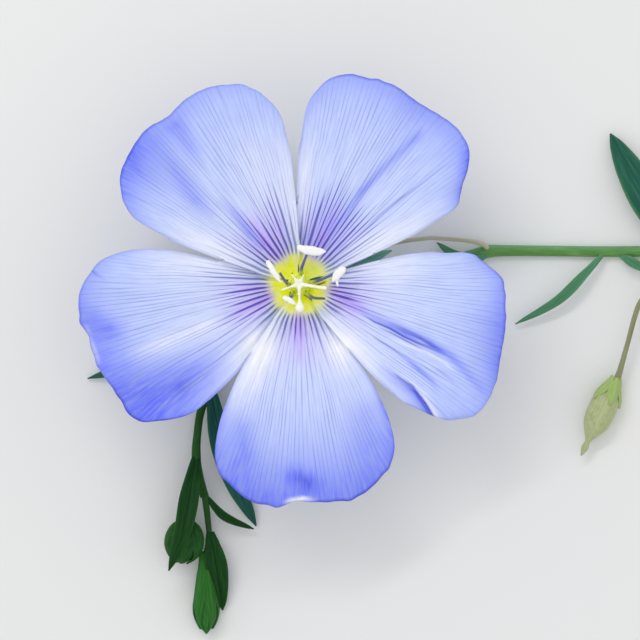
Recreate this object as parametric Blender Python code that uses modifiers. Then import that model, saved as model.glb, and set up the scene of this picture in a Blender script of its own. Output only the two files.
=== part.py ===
"""A flax flower picked with its leafy stem, lying face up on a flat surface.

Sizes are in millimetres here and in metres in the meshes. The flower faces +Z. The origin is on the
surface, below the middle of the flower, where the underside of the stem rests. +X runs along the stem
to its cut end, and +Y points between the two upper petals. Angles are in degrees from +X towards +Y.
"""

import math

import bmesh
import bpy
from mathutils import Matrix, Vector

MM = 0.001  # metres in a millimetre
WELD = 0.000002  # metres, far less than any side of a face here
GAP = 0.3  # between two pieces that grow against each other
BLADE_THICK = 0.6  # petals, sepals and leaves

# The bloom: the five petals stand on the rim of the receptacle, round the stamens and the ovary
CLAW_Z = 3.4  # foot of the petals above the surface
CLAW_R = 1.7  # foot of the petals from the flower's axis
SIDE_R = 10.3  # where a petal's side edge turns into its rim
SIDE_ANGLE = 33.0  # half the angle that an even petal spans there
RIM_ANGLE = 28.0  # the first and last of the nine rim radii lie this far off the petal's axis

# Half the angle that an even petal spans, and the height of its face above the claw, at each radius
PETAL_SPREAD = (
    (1.7, 18.0), (2.1, 27.0), (2.6, 35.5), (3.3, 38.0), (4.4, 36.6), (6.0, 35.3), (9.0, 34.0), (10.3, 33.0),
    (15.6, 33.0),
)
PETAL_HEIGHT = (
    (1.7, 0.0), (1.95, 0.8), (2.4, 1.55), (3.1, 2.15), (4.5, 2.8), (7.0, 3.45), (10.5, 4.1), (13.0, 4.4),
    (15.6, 4.3),
)

# Each petal: its direction, then for its clockwise and its anticlockwise side whether the edge lies over
# (1) or under (-1) the next petal, the degrees by which that side is wider near the middle and the half
# angle that it spans at its corner, and the radius of the rim in nine even steps from the clockwise side
PETALS = {
    "petal_1": (128, (1, 0.0, 32.6), (1, 0.0, 32.2), (13.2, 14.6, 15.1, 15.2, 14.9, 15.2, 15.0, 14.6, 13.2)),
    "petal_2": (57, (1, 0.0, 32.7), (-1, 0.0, 32.3), (13.0, 14.7, 15.5, 15.4, 15.2, 15.4, 15.2, 15.0, 13.5)),
    "petal_3": (-17, (1, 0.6, 32.6), (-1, 0.0, 30.9), (13.0, 14.8, 15.5, 15.2, 14.9, 14.7, 14.5, 13.7, 11.7)),
    "petal_4": (-88, (1, 1.3, 33), (-1, 0.6, 33), (13.4, 14.8, 15.6, 15.5, 15.3, 15.4, 15.4, 14.7, 13.4)),
    "petal_5": (-161, (-1, 0.0, 32.7), (-1, 1.3, 33), (13.1, 14.8, 15.5, 15.3, 15.2, 15.1, 14.9, 14.7, 12.7)),
}
WIDER_BY_RADIUS = ((1.7, 0.0), (3.3, 1.0), (7.0, 1.0), (9.5, 0.0), (15.6, 0.0))
EDGE_LIFT = 0.5  # how far an edge is bent off the petal's face, so that it clears the next petal
LIFT_START, LIFT_END = 0.4, 0.84  # share of the half width between which the bend lies
LIFT_BY_RADIUS = ((1.7, 0.0), (2.5, 1.0), (7.0, 1.0), (10.0, 0.6), (15.6, 0.4))
RIM_WAVE = 0.3  # depth of the waves in the rim
WAVES_ACROSS = 2.5
WAVE_DEPTH = 4  # power with which a wave fades from the rim to the claw
SLOPE_STEP = 0.05
PETAL_ACROSS = (-1.0, -0.93, -0.84, -0.73, -0.6, -0.45, -0.3, -0.15, 0.0)  # mirrored for the other half
PETAL_ROWS = 11
PETAL_CROWDING = 1.5  # over 1 draws the rows together at the claw, where the petal bends most

# The stamens alternate with the petals: foot direction, then the anther's middle, height, length,
# width and the direction of its long side. The last filament has lost its anther.
STAMENS = (
    (92, (0.9, 2.4), 4.6, 2.0, 0.75, -15),
    (164, (-1.75, 0.95), 4.5, 1.55, 0.8, 115),
    (20, (2.75, 0.7), 4.3, 1.5, 0.8, 45),
    (236, (-0.75, -1.3), 4.4, 0.95, 0.6, -30),
    (308, (1.75, -1.0), 3.9, 0.0, 0.0, 0),
)
RING_R = 0.98  # the filaments grow together in a ring at their feet
RING_THICK = 0.28
RING_STRETCH = 2  # the ring is this many times as tall as it is thick
FILAMENT_R = 0.18
FILAMENT_FOOT = 0.2  # height of the filaments' feet above the claws, within the ring
FILAMENT_KNEE = (0.35, 0.5)  # share of a filament's length where it bends, and how far up it bends there
FILAMENT_STEP = 0.9

# The styles stand on the ovary, one for each petal. They are close together at the foot, which is one
# column here, and spread into a star at the top.
OVARY = ((0.0, 0.4), (0.35, 0.62), (0.9, 0.68), (1.5, 0.55), (2.1, 0.32), (3.6, 0.28))  # height, radius
STYLES = ((56, 0.8), (130, 1.1), (194, 1.45), (272, 1.4), (347, 1.75))  # direction and reach
STYLE_R = 0.18
STYLE_FORK = 3.4
STYLE_TOP = 4.7
STYLE_BEND = (0.35, 0.4)  # share of a style's reach where it turns level, and how far below the top

# The stalk comes up from the stem's node, and the receptacle and the sepals hold the bloom
RECEPTACLE = ((-1.35, 0.3), (-1.1, 0.8), (-0.7, 1.5), (-GAP, 1.85))  # height from the claws, radius
SEPAL_DIRECTIONS = (92, 164, 236, 308, 20)
SEPAL_PROFILE = ((1.0, -0.85), (2.0, -0.75), (2.9, -0.1), (3.8, 0.65), (5.0, 1.15), (6.5, 1.5))
SEPAL_WIDTH = 2.6
STALK_R = 0.22
STALK = (
    (12.95, 2.98, 1.0), (11.7, 3.1, 1.2), (10.5, 3.25, 1.35), (9.2, 3.3, 1.5), (6.6, 2.9, 1.65),
    (4.2, 1.95, 1.55), (2.2, 0.95, 1.45), (0.8, 0.3, 1.65), (0.1, 0.0, 2.2), (0.0, 0.0, 2.6),
)

# The stem lies on the surface from its cut end, under the bloom and on to the spray of buds. Each
# point has the radius as its fourth number.
STEM_Z = 0.31  # height of its axis, which leaves a flat strip under it where it rests
STEM = (
    (37.5, 4.4, STEM_Z, 0.4), (33.0, 3.3, STEM_Z, 0.4), (28.0, 2.5, STEM_Z, 0.39),
    (23.0, 2.35, STEM_Z, 0.38), (18.0, 2.4, STEM_Z, 0.37), (14.2, 2.42, STEM_Z, 0.4),
    (13.4, 2.36, STEM_Z, 0.48), (12.6, 2.2, STEM_Z, 0.38), (9.0, 1.2, STEM_Z, 0.37),
    (4.5, 0.25, STEM_Z, 0.36), (0.0, 0.0, STEM_Z, 0.36), (-2.6, -1.9, STEM_Z, 0.36),
    (-4.3, -4.3, STEM_Z, 0.36), (-5.2, -6.0, 0.45, 0.34),
)
# Each leaf: the line of its midrib, and its width
STEM_LEAVES = (
    (((21.75, 2.3, 0.5), (20.4, 0.85, 0.95), (18.4, -1.12, 0.95), (15.55, -2.8, 0.4)), 0.9),
    (((27.6, 2.6, 0.5), (26.0, 4.2, 1.2), (24.2, 6.95, 1.3), (22.15, 10.75, 0.6)), 2.5),
    (((31.5, 3.1, 0.5), (29.8, 0.9, 1.1), (28.6, -2.2, 1.0), (28.2, -5.4, 0.3)), 1.2),
    (((13.5, 2.2, 0.5), (12.4, 1.75, 0.8), (11.0, 2.15, 0.85), (9.8, 3.0, 0.6)), 0.75),
    (((22.85, 2.1, 0.45), (23.6, 1.65, 0.85), (24.5, 1.15, 0.85), (25.05, 0.85, 0.7)), 0.9),
    (((-3.2, -2.8, 0.5), (-7.6, -4.4, 1.3), (-11.6, -5.7, 1.1), (-15.1, -6.7, 0.25)), 1.3),
    (((-1.2, -0.7, 0.5), (-3.0, 3.0, 1.4), (-5.0, 7.2, 1.2), (-6.8, 11.2, 0.25)), 1.3),
)

# The spray hangs from the stem's end: two nodes, a round bud, a long bud, bracts and leaves
SPRAY_STEM = (
    (-5.33, -6.28, 0.5, 0.33), (-6.3, -7.6, 0.75, 0.31), (-6.95, -8.8, 0.95, 0.29),
    (-7.25, -10.6, 1.2, 0.28), (-7.33, -12.3, 1.35, 0.33), (-7.1, -13.6, 1.35, 0.28),
    (-6.75, -15.1, 1.3, 0.32),
)
LOWER_STALK = (
    (-6.72, -14.9, 1.3, 0.26), (-6.52, -16.7, 1.2, 0.24), (-6.42, -18.0, 1.1, 0.22),
    (-6.7, -19.4, 1.0, 0.22), (-6.85, -20.2, 0.95, 0.26),
)
ROUND_BUD_STALK = (
    (-7.33, -12.4, 1.2, 0.26), (-7.75, -14.2, 1.1, 0.23), (-8.0, -16.0, 1.2, 0.23), (-8.0, -17.1, 1.35, 0.26),
)
ROUND_BUD = (
    (-8.0, -16.75, 1.35, 0.4), (-8.1, -17.25, 1.35, 1.0), (-8.28, -18.3, 1.33, 1.3),
    (-8.38, -19.2, 1.3, 1.0), (-8.45, -19.9, 1.3, 0.3),
)
LONG_BUD = (
    (-6.82, -19.9, 0.95, 0.24), (-6.88, -20.5, 0.93, 0.46), (-6.88, -21.2, 0.9, 0.7),
    (-6.9, -22.0, 0.9, 0.87), (-6.92, -22.85, 0.93, 0.97), (-6.88, -23.85, 0.85, 0.74),
    (-6.7, -24.55, 0.7, 0.4), (-6.66, -24.92, 0.65, 0.14),
)
SPRAY_LEAVES = (
    (((-7.3, -12.0, 1.4), (-7.75, -14.8, 2.6), (-8.3, -17.7, 3.1), (-9.25, -20.3, 2.6)), 1.4),
    (((-6.65, -15.0, 1.35), (-5.57, -16.3, 1.3), (-4.75, -16.8, 1.1), (-3.25, -17.4, 0.7)), 0.6),
    (((-6.35, -17.6, 1.25), (-6.1, -18.9, 1.3), (-5.8, -20.8, 1.0), (-5.46, -23.2, 0.3)), 1.6),
    (((-6.3, -7.3, 0.9), (-5.7, -10.5, 1.4), (-4.6, -14.0, 1.1), (-3.08, -17.2, 0.25)), 1.6),
)

# The seed capsule hangs from a stalk that arches out from the stem
CAPSULE_STALK = (
    (26.2, 1.76, 0.5, 0.24), (26.1, 1.1, 0.8, 0.24), (25.5, 0.2, 1.0, 0.23), (24.75, -0.6, 1.05, 0.22),
    (24.1, -1.6, 1.1, 0.22), (23.3, -4.4, 1.1, 0.22), (22.8, -6.2, 1.0, 0.24), (22.55, -6.95, 1.0, 0.3),
)
CAPSULE = (
    (22.5, -6.75, 1.0, 0.35), (22.35, -7.2, 1.0, 0.62), (22.05, -7.8, 1.02, 0.9), (21.75, -8.9, 1.03, 1.06),
    (21.3, -10.2, 0.95, 0.85), (20.8, -11.1, 0.82, 0.45), (19.95, -12.2, 0.75, 0.14),
)

LEAF_SHAPE = ((0.0, 0.35), (0.12, 0.6), (0.4, 1.0), (0.7, 0.8), (0.9, 0.42), (1.0, 0.14))
SEPAL_SHAPE = ((0.0, 0.75), (0.3, 1.0), (0.6, 0.9), (0.85, 0.5), (1.0, 0.14))
LEAF_FOLD = 0.25  # slope of a leaf's two halves where it is widest; its ends are flatter


def along(knots, x):
    """The value at x of a smooth curve through the knots, which are pairs in order of x."""
    last = len(knots) - 1
    i = 0
    while i < last - 1 and x > knots[i + 1][0]:
        i += 1

    def slope(k):
        before, after = knots[max(k - 1, 0)], knots[min(k + 1, last)]
        return (after[1] - before[1]) / (after[0] - before[0])

    (x0, y0), (x1, y1) = knots[i], knots[i + 1]
    span = x1 - x0
    t = min(max((x - x0) / span, 0.0), 1.0)
    start = y0 * (1 + 2 * t) * (1 - t) ** 2 + slope(i) * span * t * (1 - t) ** 2
    end = y1 * t * t * (3 - 2 * t) - slope(i + 1) * span * t * t * (1 - t)
    return start + end


def smooth_path(points, step):
    """Points about a step apart on a smooth curve through the given points, of any number of values."""
    lengths = [0.0]
    for a, b in zip(points, points[1:]):
        lengths.append(lengths[-1] + math.dist(a[:3], b[:3]))
    count = max(2, round(lengths[-1] / step))
    tracks = [tuple(zip(lengths, values)) for values in zip(*points)]
    return [[along(track, lengths[-1] * i / count) for track in tracks] for i in range(count + 1)]


def polar(radius, direction, z):
    """The place at a radius from the flower's axis, in a direction, at a height."""
    angle = math.radians(direction)
    return (radius * math.cos(angle), radius * math.sin(angle), z)


def new_material(name, colour, roughness):
    """A plain material from an sRGB colour of three values from 0 to 1."""
    material = bpy.data.materials.new(name)
    material.use_nodes = True
    shader = material.node_tree.nodes["Principled BSDF"]
    linear = [c / 12.92 if c <= 0.04045 else ((c + 0.055) / 1.055) ** 2.4 for c in colour]
    shader.inputs["Base Color"].default_value = (*linear, 1.0)
    shader.inputs["Roughness"].default_value = roughness
    shader.inputs["Metallic"].default_value = 0.0
    return material


def evaluated_copy(source):
    """A closed mesh object from a curve or from an object with modifiers, which it takes the place of."""
    bpy.context.view_layer.update()
    depsgraph = bpy.context.evaluated_depsgraph_get()
    mesh = bpy.data.meshes.new_from_object(source.evaluated_get(depsgraph))
    solid = bpy.data.objects.new(source.name, mesh)
    bpy.context.scene.collection.objects.link(solid)
    solid.matrix_world = source.matrix_world
    bpy.data.objects.remove(source)
    edit = bmesh.new()
    edit.from_mesh(mesh)
    bmesh.ops.remove_doubles(edit, verts=edit.verts, dist=WELD)
    bmesh.ops.recalc_face_normals(edit, faces=edit.faces)
    edit.to_mesh(mesh)
    edit.free()
    return solid


def round_stalk(points, radius=None, step=1.2):
    """A solid of round section along the points, whose fourth number is the radius unless one is given."""
    curve = bpy.data.curves.new("stalk", "CURVE")
    curve.dimensions = "3D"
    curve.bevel_depth = MM
    curve.bevel_resolution = 2
    curve.use_fill_caps = True
    path = smooth_path(points, step)
    spline = curve.splines.new("POLY")
    spline.points.add(len(path) - 1)
    for point, place in zip(spline.points, path):
        point.co = (place[0] * MM, place[1] * MM, place[2] * MM, 1.0)
        point.radius = radius or place[3]
    stalk = bpy.data.objects.new("stalk", curve)
    bpy.context.scene.collection.objects.link(stalk)
    return evaluated_copy(stalk)


def blade(rows):
    """A blade of even thickness whose middle surface passes through a grid of points, row by row."""
    mesh = bpy.data.meshes.new("blade")
    surface = bmesh.new()
    grid = [[surface.verts.new([c * MM for c in point]) for point in row] for row in rows]
    for low, high in zip(grid, grid[1:]):
        for i in range(len(low) - 1):
            surface.faces.new((low[i], low[i + 1], high[i + 1], high[i]))
    bmesh.ops.triangulate(surface, faces=surface.faces)
    surface.to_mesh(mesh)
    surface.free()
    sheet = bpy.data.objects.new("blade", mesh)
    bpy.context.scene.collection.objects.link(sheet)
    thicken = sheet.modifiers.new("thickness", "SOLIDIFY")
    thicken.thickness = BLADE_THICK * MM
    thicken.offset = 0.0
    return evaluated_copy(sheet)


def leaf(midrib, width, shape=LEAF_SHAPE, step=1.4):
    """A narrow leaf along its midrib, with its two halves folded up a little."""
    path = smooth_path(midrib, step)
    rows = []
    for i, place in enumerate(path):
        ahead = Vector(path[min(i + 1, len(path) - 1)]) - Vector(path[max(i - 1, 0)])
        side = ahead.cross(Vector((0, 0, 1))).normalized()
        fullness = along(shape, i / (len(path) - 1))
        half = width / 2 * fullness
        row = []
        for share in (-1.0, -0.5, 0.0, 0.5, 1.0):
            rise = Vector((0, 0, LEAF_FOLD * fullness * half * abs(share)))
            row.append(Vector(place) + side * half * share + rise)
        rows.append(row)
    return blade(rows)


def grain(place, sizes, direction):
    """A smooth grain with the given length, width and height, its length turned about the vertical."""
    bpy.ops.mesh.primitive_uv_sphere_add(segments=12, ring_count=8, radius=0.5)
    solid = bpy.context.object
    size = Matrix.Diagonal([s * MM for s in sizes]).to_4x4()
    turn = Matrix.Rotation(math.radians(direction), 4, "Z")
    solid.data.transform(Matrix.Translation([c * MM for c in place]) @ turn @ size)
    return solid


def grown_together(name, parts, material, cutter=None):
    """Joins the parts, which overlap where they grow from each other, into one object of that name."""
    body, *others = parts
    joined = bpy.data.collections.new(name + "_parts")
    for other in others:
        joined.objects.link(other)
    union = body.modifiers.new("grown_together", "BOOLEAN")
    union.operation = "UNION"
    union.operand_type = "COLLECTION"
    union.collection = joined
    union.solver = "MANIFOLD"
    if cutter:
        rest = body.modifiers.new("resting_face", "BOOLEAN")
        rest.operation = "DIFFERENCE"
        rest.object = cutter
        rest.solver = "MANIFOLD"
    whole = evaluated_copy(body)
    for other in others:
        bpy.data.objects.remove(other)
    bpy.data.collections.remove(joined)
    return named(whole, name, material)


def moved_to(solid, collection):
    """Links the object to the collection alone."""
    for old_home in list(solid.users_collection):
        old_home.objects.unlink(solid)
    collection.objects.link(solid)
    return solid


def named(solid, name, material):
    """Gives the solid its name and material and moves it to the flower's collection."""
    solid.name = name
    solid.data.name = name
    solid.data.materials.clear()
    solid.data.materials.append(material)
    return moved_to(solid, flower)


def petal_point(share, row, rim, sides):
    """A point of a petal's middle surface with its axis along +X: share runs across from -1 to 1."""
    over, wider, corner = sides[0] if share < 0 else sides[1]
    radius = CLAW_R + (along(rim, share) - CLAW_R) * row**PETAL_CROWDING
    spread = along(PETAL_SPREAD, radius) * corner / SIDE_ANGLE + wider * along(WIDER_BY_RADIUS, radius)
    angle = math.radians(share * spread)
    height = along(PETAL_HEIGHT, radius)
    slope = (along(PETAL_HEIGHT, radius + SLOPE_STEP) - height) / SLOPE_STEP
    bend = min(max((abs(share) - LIFT_START) / (LIFT_END - LIFT_START), 0.0), 1.0)
    lift = EDGE_LIFT * over * bend * bend * (3 - 2 * bend) * along(LIFT_BY_RADIUS, radius)
    wave = RIM_WAVE * math.sin(math.pi * WAVES_ACROSS * share) * row**WAVE_DEPTH
    normal = Vector((-slope, 1.0)).normalized()
    radius += lift * normal.x
    height += lift * normal.y + wave
    return (radius * math.cos(angle), radius * math.sin(angle), height)


def petal(name, direction, sides, rim_radii, material):
    """One petal: a claw at its foot, then a wide funnel that flattens out to a waved rim."""
    steps = len(rim_radii) - 1
    offsets = [(2 * i / steps - 1) * RIM_ANGLE for i in range(steps + 1)]
    shares = [offset / sides[0 if offset < 0 else 1][2] for offset in offsets]
    rim = ((-1.0, SIDE_R), *zip(shares, rim_radii), (1.0, SIDE_R))
    across = [*PETAL_ACROSS, *(-share for share in reversed(PETAL_ACROSS[:-1]))]
    rows = []
    for i in range(PETAL_ROWS + 1):
        rows.append([petal_point(share, i / PETAL_ROWS, rim, sides) for share in across])
    solid = named(blade(rows), name, material)
    solid.parent = bloom
    solid.rotation_euler.z = math.radians(direction)


def stamens(material):
    """The ring round the ovary's foot, its five filaments, and the anthers across their tips."""
    bpy.ops.mesh.primitive_torus_add(
        major_radius=RING_R * MM, minor_radius=RING_THICK / 2 * MM, major_segments=20, minor_segments=6
    )
    ring = bpy.context.object
    raised = Matrix.Translation((0, 0, (CLAW_Z + RING_THICK) * MM))
    ring.data.transform(raised @ Matrix.Diagonal((1, 1, RING_STRETCH, 1)))
    parts = [ring]
    for direction, (x, y), top, length, width, turn in STAMENS:
        foot = Vector(polar(RING_R, direction, CLAW_Z + FILAMENT_FOOT))
        tip = Vector((x, y, CLAW_Z + top))
        knee = foot.lerp(tip, FILAMENT_KNEE[0]) + Vector((0, 0, FILAMENT_KNEE[1]))
        parts.append(round_stalk([foot, knee, tip], FILAMENT_R, FILAMENT_STEP))
        if length:
            parts.append(grain(tip, (length, width, width), turn))
    grown_together("stamens", parts, material)


def pistil(material):
    """The ovary with its five styles, which spread at the top over the petals' axes."""
    parts = [round_stalk([(0, 0, CLAW_Z + z, r) for z, r in OVARY], step=0.4)]
    fork, top = CLAW_Z + STYLE_FORK, CLAW_Z + STYLE_TOP
    for direction, reach in STYLES:
        bend = polar(STYLE_BEND[0] * reach, direction, top - STYLE_BEND[1])
        path = [(0, 0, fork), bend, polar(reach, direction, top)]
        parts.append(round_stalk(path, STYLE_R, 0.6))
    grown_together("pistil", parts, material)


def calyx(material):
    """The stalk that arches up from the stem, the receptacle at its end, and the five sepals."""
    parts = [
        round_stalk([(0, 0, CLAW_Z + z, r) for z, r in RECEPTACLE], step=0.4),
        round_stalk(STALK, STALK_R),
    ]
    for direction in SEPAL_DIRECTIONS:
        midrib = [polar(r, direction, CLAW_Z + z) for r, z in SEPAL_PROFILE]
        parts.append(leaf(midrib, SEPAL_WIDTH, SEPAL_SHAPE, 0.9))
    grown_together("calyx", parts, material)


def leafy_stem(material):
    """The stem from its cut end to the point under the bloom where the spray goes on, with its leaves."""
    parts = [round_stalk(STEM, step=1.6), *(leaf(line, width) for line, width in STEM_LEAVES)]
    grown_together("leafy_stem", parts, material, surface)


def bud_spray(material):
    """The drooping end of the stem: a round bud, a long bud, and the leaves at its nodes."""
    stalks = [round_stalk(line, step=0.9) for line in (SPRAY_STEM, LOWER_STALK, ROUND_BUD_STALK)]
    buds = [round_stalk(line, step=0.5) for line in (ROUND_BUD, LONG_BUD)]
    leaves = [leaf(line, width) for line, width in SPRAY_LEAVES]
    grown_together("bud_spray", [*stalks, *buds, *leaves], material, surface)


def seed_capsule(material):
    """The ripe capsule on its own stalk."""
    parts = [round_stalk(CAPSULE_STALK, step=0.9), round_stalk(CAPSULE, step=0.6)]
    grown_together("seed_capsule", parts, material, surface)


for old in list(bpy.data.objects):
    bpy.data.objects.remove(old, do_unlink=True)
flower = bpy.data.collections.new("flax_flower")
cutters = bpy.data.collections.new("cutters")
bpy.context.scene.collection.children.link(flower)
bpy.context.scene.collection.children.link(cutters)

bloom = bpy.data.objects.new("bloom", None)
bloom.location.z = CLAW_Z * MM
flower.objects.link(bloom)

# Everything that grows below the surface's level is cut off flat there, so that it rests on it
SURFACE_WIDE, SURFACE_DEEP = 120, 5
bpy.ops.mesh.primitive_cube_add(size=1.0)
surface = bpy.context.object
surface.name = "surface_cutter"
surface.data.transform(
    Matrix.Translation((0, 0, -SURFACE_DEEP / 2 * MM))
    @ Matrix.Diagonal((SURFACE_WIDE * MM, SURFACE_WIDE * MM, SURFACE_DEEP * MM, 1))
)
surface.display_type = "WIRE"
surface.hide_render = True
moved_to(surface, cutters)

petal_blue = new_material("petal_blue", (0.60, 0.67, 0.98), 0.6)
stamen_white = new_material("stamen_white", (0.93, 0.93, 0.95), 0.6)
style_cream = new_material("style_cream", (0.93, 0.95, 0.80), 0.5)
stem_green = new_material("stem_green", (0.33, 0.52, 0.33), 0.5)
bud_green = new_material("bud_green", (0.12, 0.30, 0.13), 0.5)
capsule_tan = new_material("capsule_tan", (0.63, 0.66, 0.46), 0.6)

for petal_name, (petal_direction, clockwise_side, anticlockwise_side, radii) in PETALS.items():
    petal(petal_name, petal_direction, (clockwise_side, anticlockwise_side), radii, petal_blue)
stamens(stamen_white)
pistil(style_cream)
calyx(stem_green)
leafy_stem(stem_green)
bud_spray(bud_green)
seed_capsule(capsule_tan)
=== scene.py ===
"""Looks of a flax flower picked with its leafy stem, its buds and a seed capsule.

Lengths are in millimetres until a mesh is made, and angles in degrees from +X towards +Y.
"""

import math

import bpy
import numpy as np
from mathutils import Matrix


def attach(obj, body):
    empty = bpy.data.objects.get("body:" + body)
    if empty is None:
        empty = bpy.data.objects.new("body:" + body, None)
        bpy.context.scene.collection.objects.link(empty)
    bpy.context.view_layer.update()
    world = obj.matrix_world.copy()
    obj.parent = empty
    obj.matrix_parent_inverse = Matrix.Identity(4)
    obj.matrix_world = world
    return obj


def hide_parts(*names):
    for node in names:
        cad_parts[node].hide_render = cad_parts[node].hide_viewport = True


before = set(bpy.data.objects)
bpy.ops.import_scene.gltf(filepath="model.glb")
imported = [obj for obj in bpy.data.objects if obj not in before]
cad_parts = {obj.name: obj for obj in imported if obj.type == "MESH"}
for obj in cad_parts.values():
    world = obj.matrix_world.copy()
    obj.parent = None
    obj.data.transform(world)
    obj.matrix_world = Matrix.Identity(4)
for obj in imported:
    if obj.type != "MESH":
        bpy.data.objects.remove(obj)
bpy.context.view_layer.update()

# The main stem
# A round green stem, 0.8 mm thick, with faint ridges and a bloom of wax. It grew in one piece with the
# spray at its far end, and was cut at the near end. It lies on the surface, pressed flat where it rests.
MM = 0.001
REST = 0.01  # nothing reaches lower than this above the surface
STEM_Z = 0.31
STEM = (
    (37.3, 4.36, STEM_Z, 0.4), (33.0, 3.3, STEM_Z, 0.4), (28.0, 2.5, STEM_Z, 0.39),
    (23.0, 2.35, STEM_Z, 0.38), (18.0, 2.4, STEM_Z, 0.37), (14.2, 2.42, STEM_Z, 0.4),
    (13.4, 2.36, STEM_Z, 0.46), (12.6, 2.2, STEM_Z, 0.38), (9.0, 1.2, STEM_Z, 0.37),
    (4.5, 0.25, STEM_Z, 0.36), (0.0, 0.0, STEM_Z, 0.36), (-2.6, -1.9, STEM_Z, 0.36),
)
LEAFY_STEM = ("stem", "leafy_stem")  # its slot and the node that its pieces replace
STEM_RIDGES = 9
STEM_RIDGE = 0.03  # height of a ridge as a share of the radius
CUT_SLANT = 0.2  # how far the cut end leans, for each millimetre of height
CUT_REACH = 2.0  # from the end, where the lean has died away
SKEW = (0.13, 0.21, 1.0)  # a direction in which no stalk starts


def along(knots, x):
    """The value at x, a number or an array, of a smooth curve through the knots, pairs in order of x."""
    at, value = np.array(knots, float).T
    last = len(at) - 1
    i = np.clip(np.searchsorted(at, x, side="right") - 1, 0, last - 1)
    order = np.arange(last + 1)
    before, after = np.maximum(order - 1, 0), np.minimum(order + 1, last)
    slope = (value[after] - value[before]) / (at[after] - at[before])
    span = at[i + 1] - at[i]
    t = np.clip((x - at[i]) / span, 0, 1)
    start = value[i] * (1 + 2 * t) * (1 - t) ** 2 + slope[i] * span * t * (1 - t) ** 2
    end = value[i + 1] * t * t * (3 - 2 * t) - slope[i + 1] * span * t * t * (1 - t)
    return start + end


def smooth_path(points, step):
    """Points about a step apart on a smooth curve through the given points, of any number of values."""
    points = np.array(points, float)
    sides = np.linalg.norm(np.diff(points[:, :3], axis=0), axis=1)
    lengths = np.concatenate([[0.0], np.cumsum(sides)])
    count = max(4, round(lengths[-1] / step))
    places = np.linspace(0, lengths[-1], count + 1)
    return np.stack([along(np.stack([lengths, track], 1), places) for track in points.T], 1)


def unit(vectors):
    """The vectors along the last axis at length 1."""
    return vectors / np.maximum(np.linalg.norm(vectors, axis=-1, keepdims=True), 1e-9)


def together(*values):
    """Grids of values side by side, as the last axis of one grid."""
    return np.stack(np.broadcast_arrays(*values), -1)


def piece(name, points, faces, material, home, **attributes):
    """A smooth mesh object that rides on the flower, with its named values at each point. Its home is its
    slot, which is not used, and then the nodes that it replaces."""
    slot, *nodes = home
    mesh = bpy.data.meshes.new(name)
    lifted = np.array(points, float)
    lifted[:, 2] = np.maximum(lifted[:, 2], REST)
    mesh.from_pydata((lifted * MM).tolist(), [], [list(f) for f in faces])
    mesh.shade_smooth()
    for key, values in attributes.items():
        layer = mesh.attributes.new(key, "FLOAT_VECTOR", "POINT")
        layer.data.foreach_set("vector", np.array(values, np.float32).ravel())
    mesh.materials.append(material)
    made = bpy.data.objects.new(name, mesh)
    bpy.context.scene.collection.objects.link(made)
    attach(made, "root")
    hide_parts(*nodes)


def closed_rings(rings):
    """Points and faces of a closed body through rings of points, with a point in the middle of each end."""
    count, sides = rings.shape[:2]
    points = np.concatenate([rings.reshape(-1, 3), rings[0].mean(0)[None], rings[-1].mean(0)[None]])
    faces = []
    for k in range(sides):
        after = (k + 1) % sides
        for r in range(0, (count - 1) * sides, sides):
            faces.append((r + k, r + after, r + after + sides, r + k + sides))
        faces.append((after, k, count * sides))
        faces.append(((count - 1) * sides + k, (count - 1) * sides + after, count * sides + 1))
    return points, faces


def tube(name, path, material, home, sides=24, section=None, slant=0.0):
    """A closed stalk along a path whose fourth column is the radius. Its surface place is stored as the
    cosine and sine round it and the length along it."""
    middle, radii = path[:, :3], path[:, 3]
    heading = unit(np.gradient(middle, axis=0))
    across = np.zeros_like(heading)
    side = np.cross(heading[0], SKEW)
    for i, forward in enumerate(heading):
        side = unit(side - forward * np.dot(side, forward))
        across[i] = side
    upward = np.cross(heading, across)
    length = np.concatenate([[0.0], np.cumsum(np.linalg.norm(np.diff(middle, axis=0), axis=1))])
    turn = np.linspace(0, 2 * np.pi, sides, endpoint=False)
    reach = radii[:, None] * (section(turn[None, :], length[:, None]) if section else np.ones((1, sides)))
    cosine, sine = np.cos(turn)[None, :, None], np.sin(turn)[None, :, None]
    spokes = across[:, None, :] * cosine + upward[:, None, :] * sine
    rings = middle[:, None, :] + spokes * reach[:, :, None]
    fade = np.clip(1 - length / CUT_REACH, 0, 1)[:, None, None]
    rings = rings + heading[0] * (rings[:, :, 2:] - middle[0, 2]) * slant * fade
    points, faces = closed_rings(rings)
    place = together(cosine[:, :, 0], sine[:, :, 0], length[:, None])
    place = np.concatenate([place.reshape(-1, 3), [(0, 0, length[0]), (0, 0, length[-1])]])
    piece(name, points, faces, material, home, place=place)


def srgb(colour):
    """A linear colour with alpha from a hex sRGB one."""
    parts = [int(colour[i:i + 2], 16) / 255 for i in (1, 3, 5)]
    return (*[p / 12.92 if p <= 0.04045 else ((p + 0.055) / 1.055) ** 2.4 for p in parts], 1.0)


def add(tree, kind, inputs, out=0, stops=None, **settings):
    """Adds a node with its settings and returns one of its outputs. Each input gets a value or a link, by
    name or in the order of the sockets: of a MapRange, the value, its low and high, and what they become."""
    made = tree.nodes.new("ShaderNode" + kind)
    for key, value in settings.items():
        setattr(made, key, value)
    if stops:
        ramp = made.color_ramp.elements
        for position, _ in stops[2:]:
            ramp.new(position)
        for element, (position, colour) in zip(ramp, stops):
            element.position = position
            element.color = srgb(colour)
    for key, value in inputs.items() if isinstance(inputs, dict) else enumerate(inputs):
        if isinstance(value, bpy.types.NodeSocket):
            tree.links.new(value, made.inputs[key])
        else:
            made.inputs[key].default_value = value
    return made.outputs[out]


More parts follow.
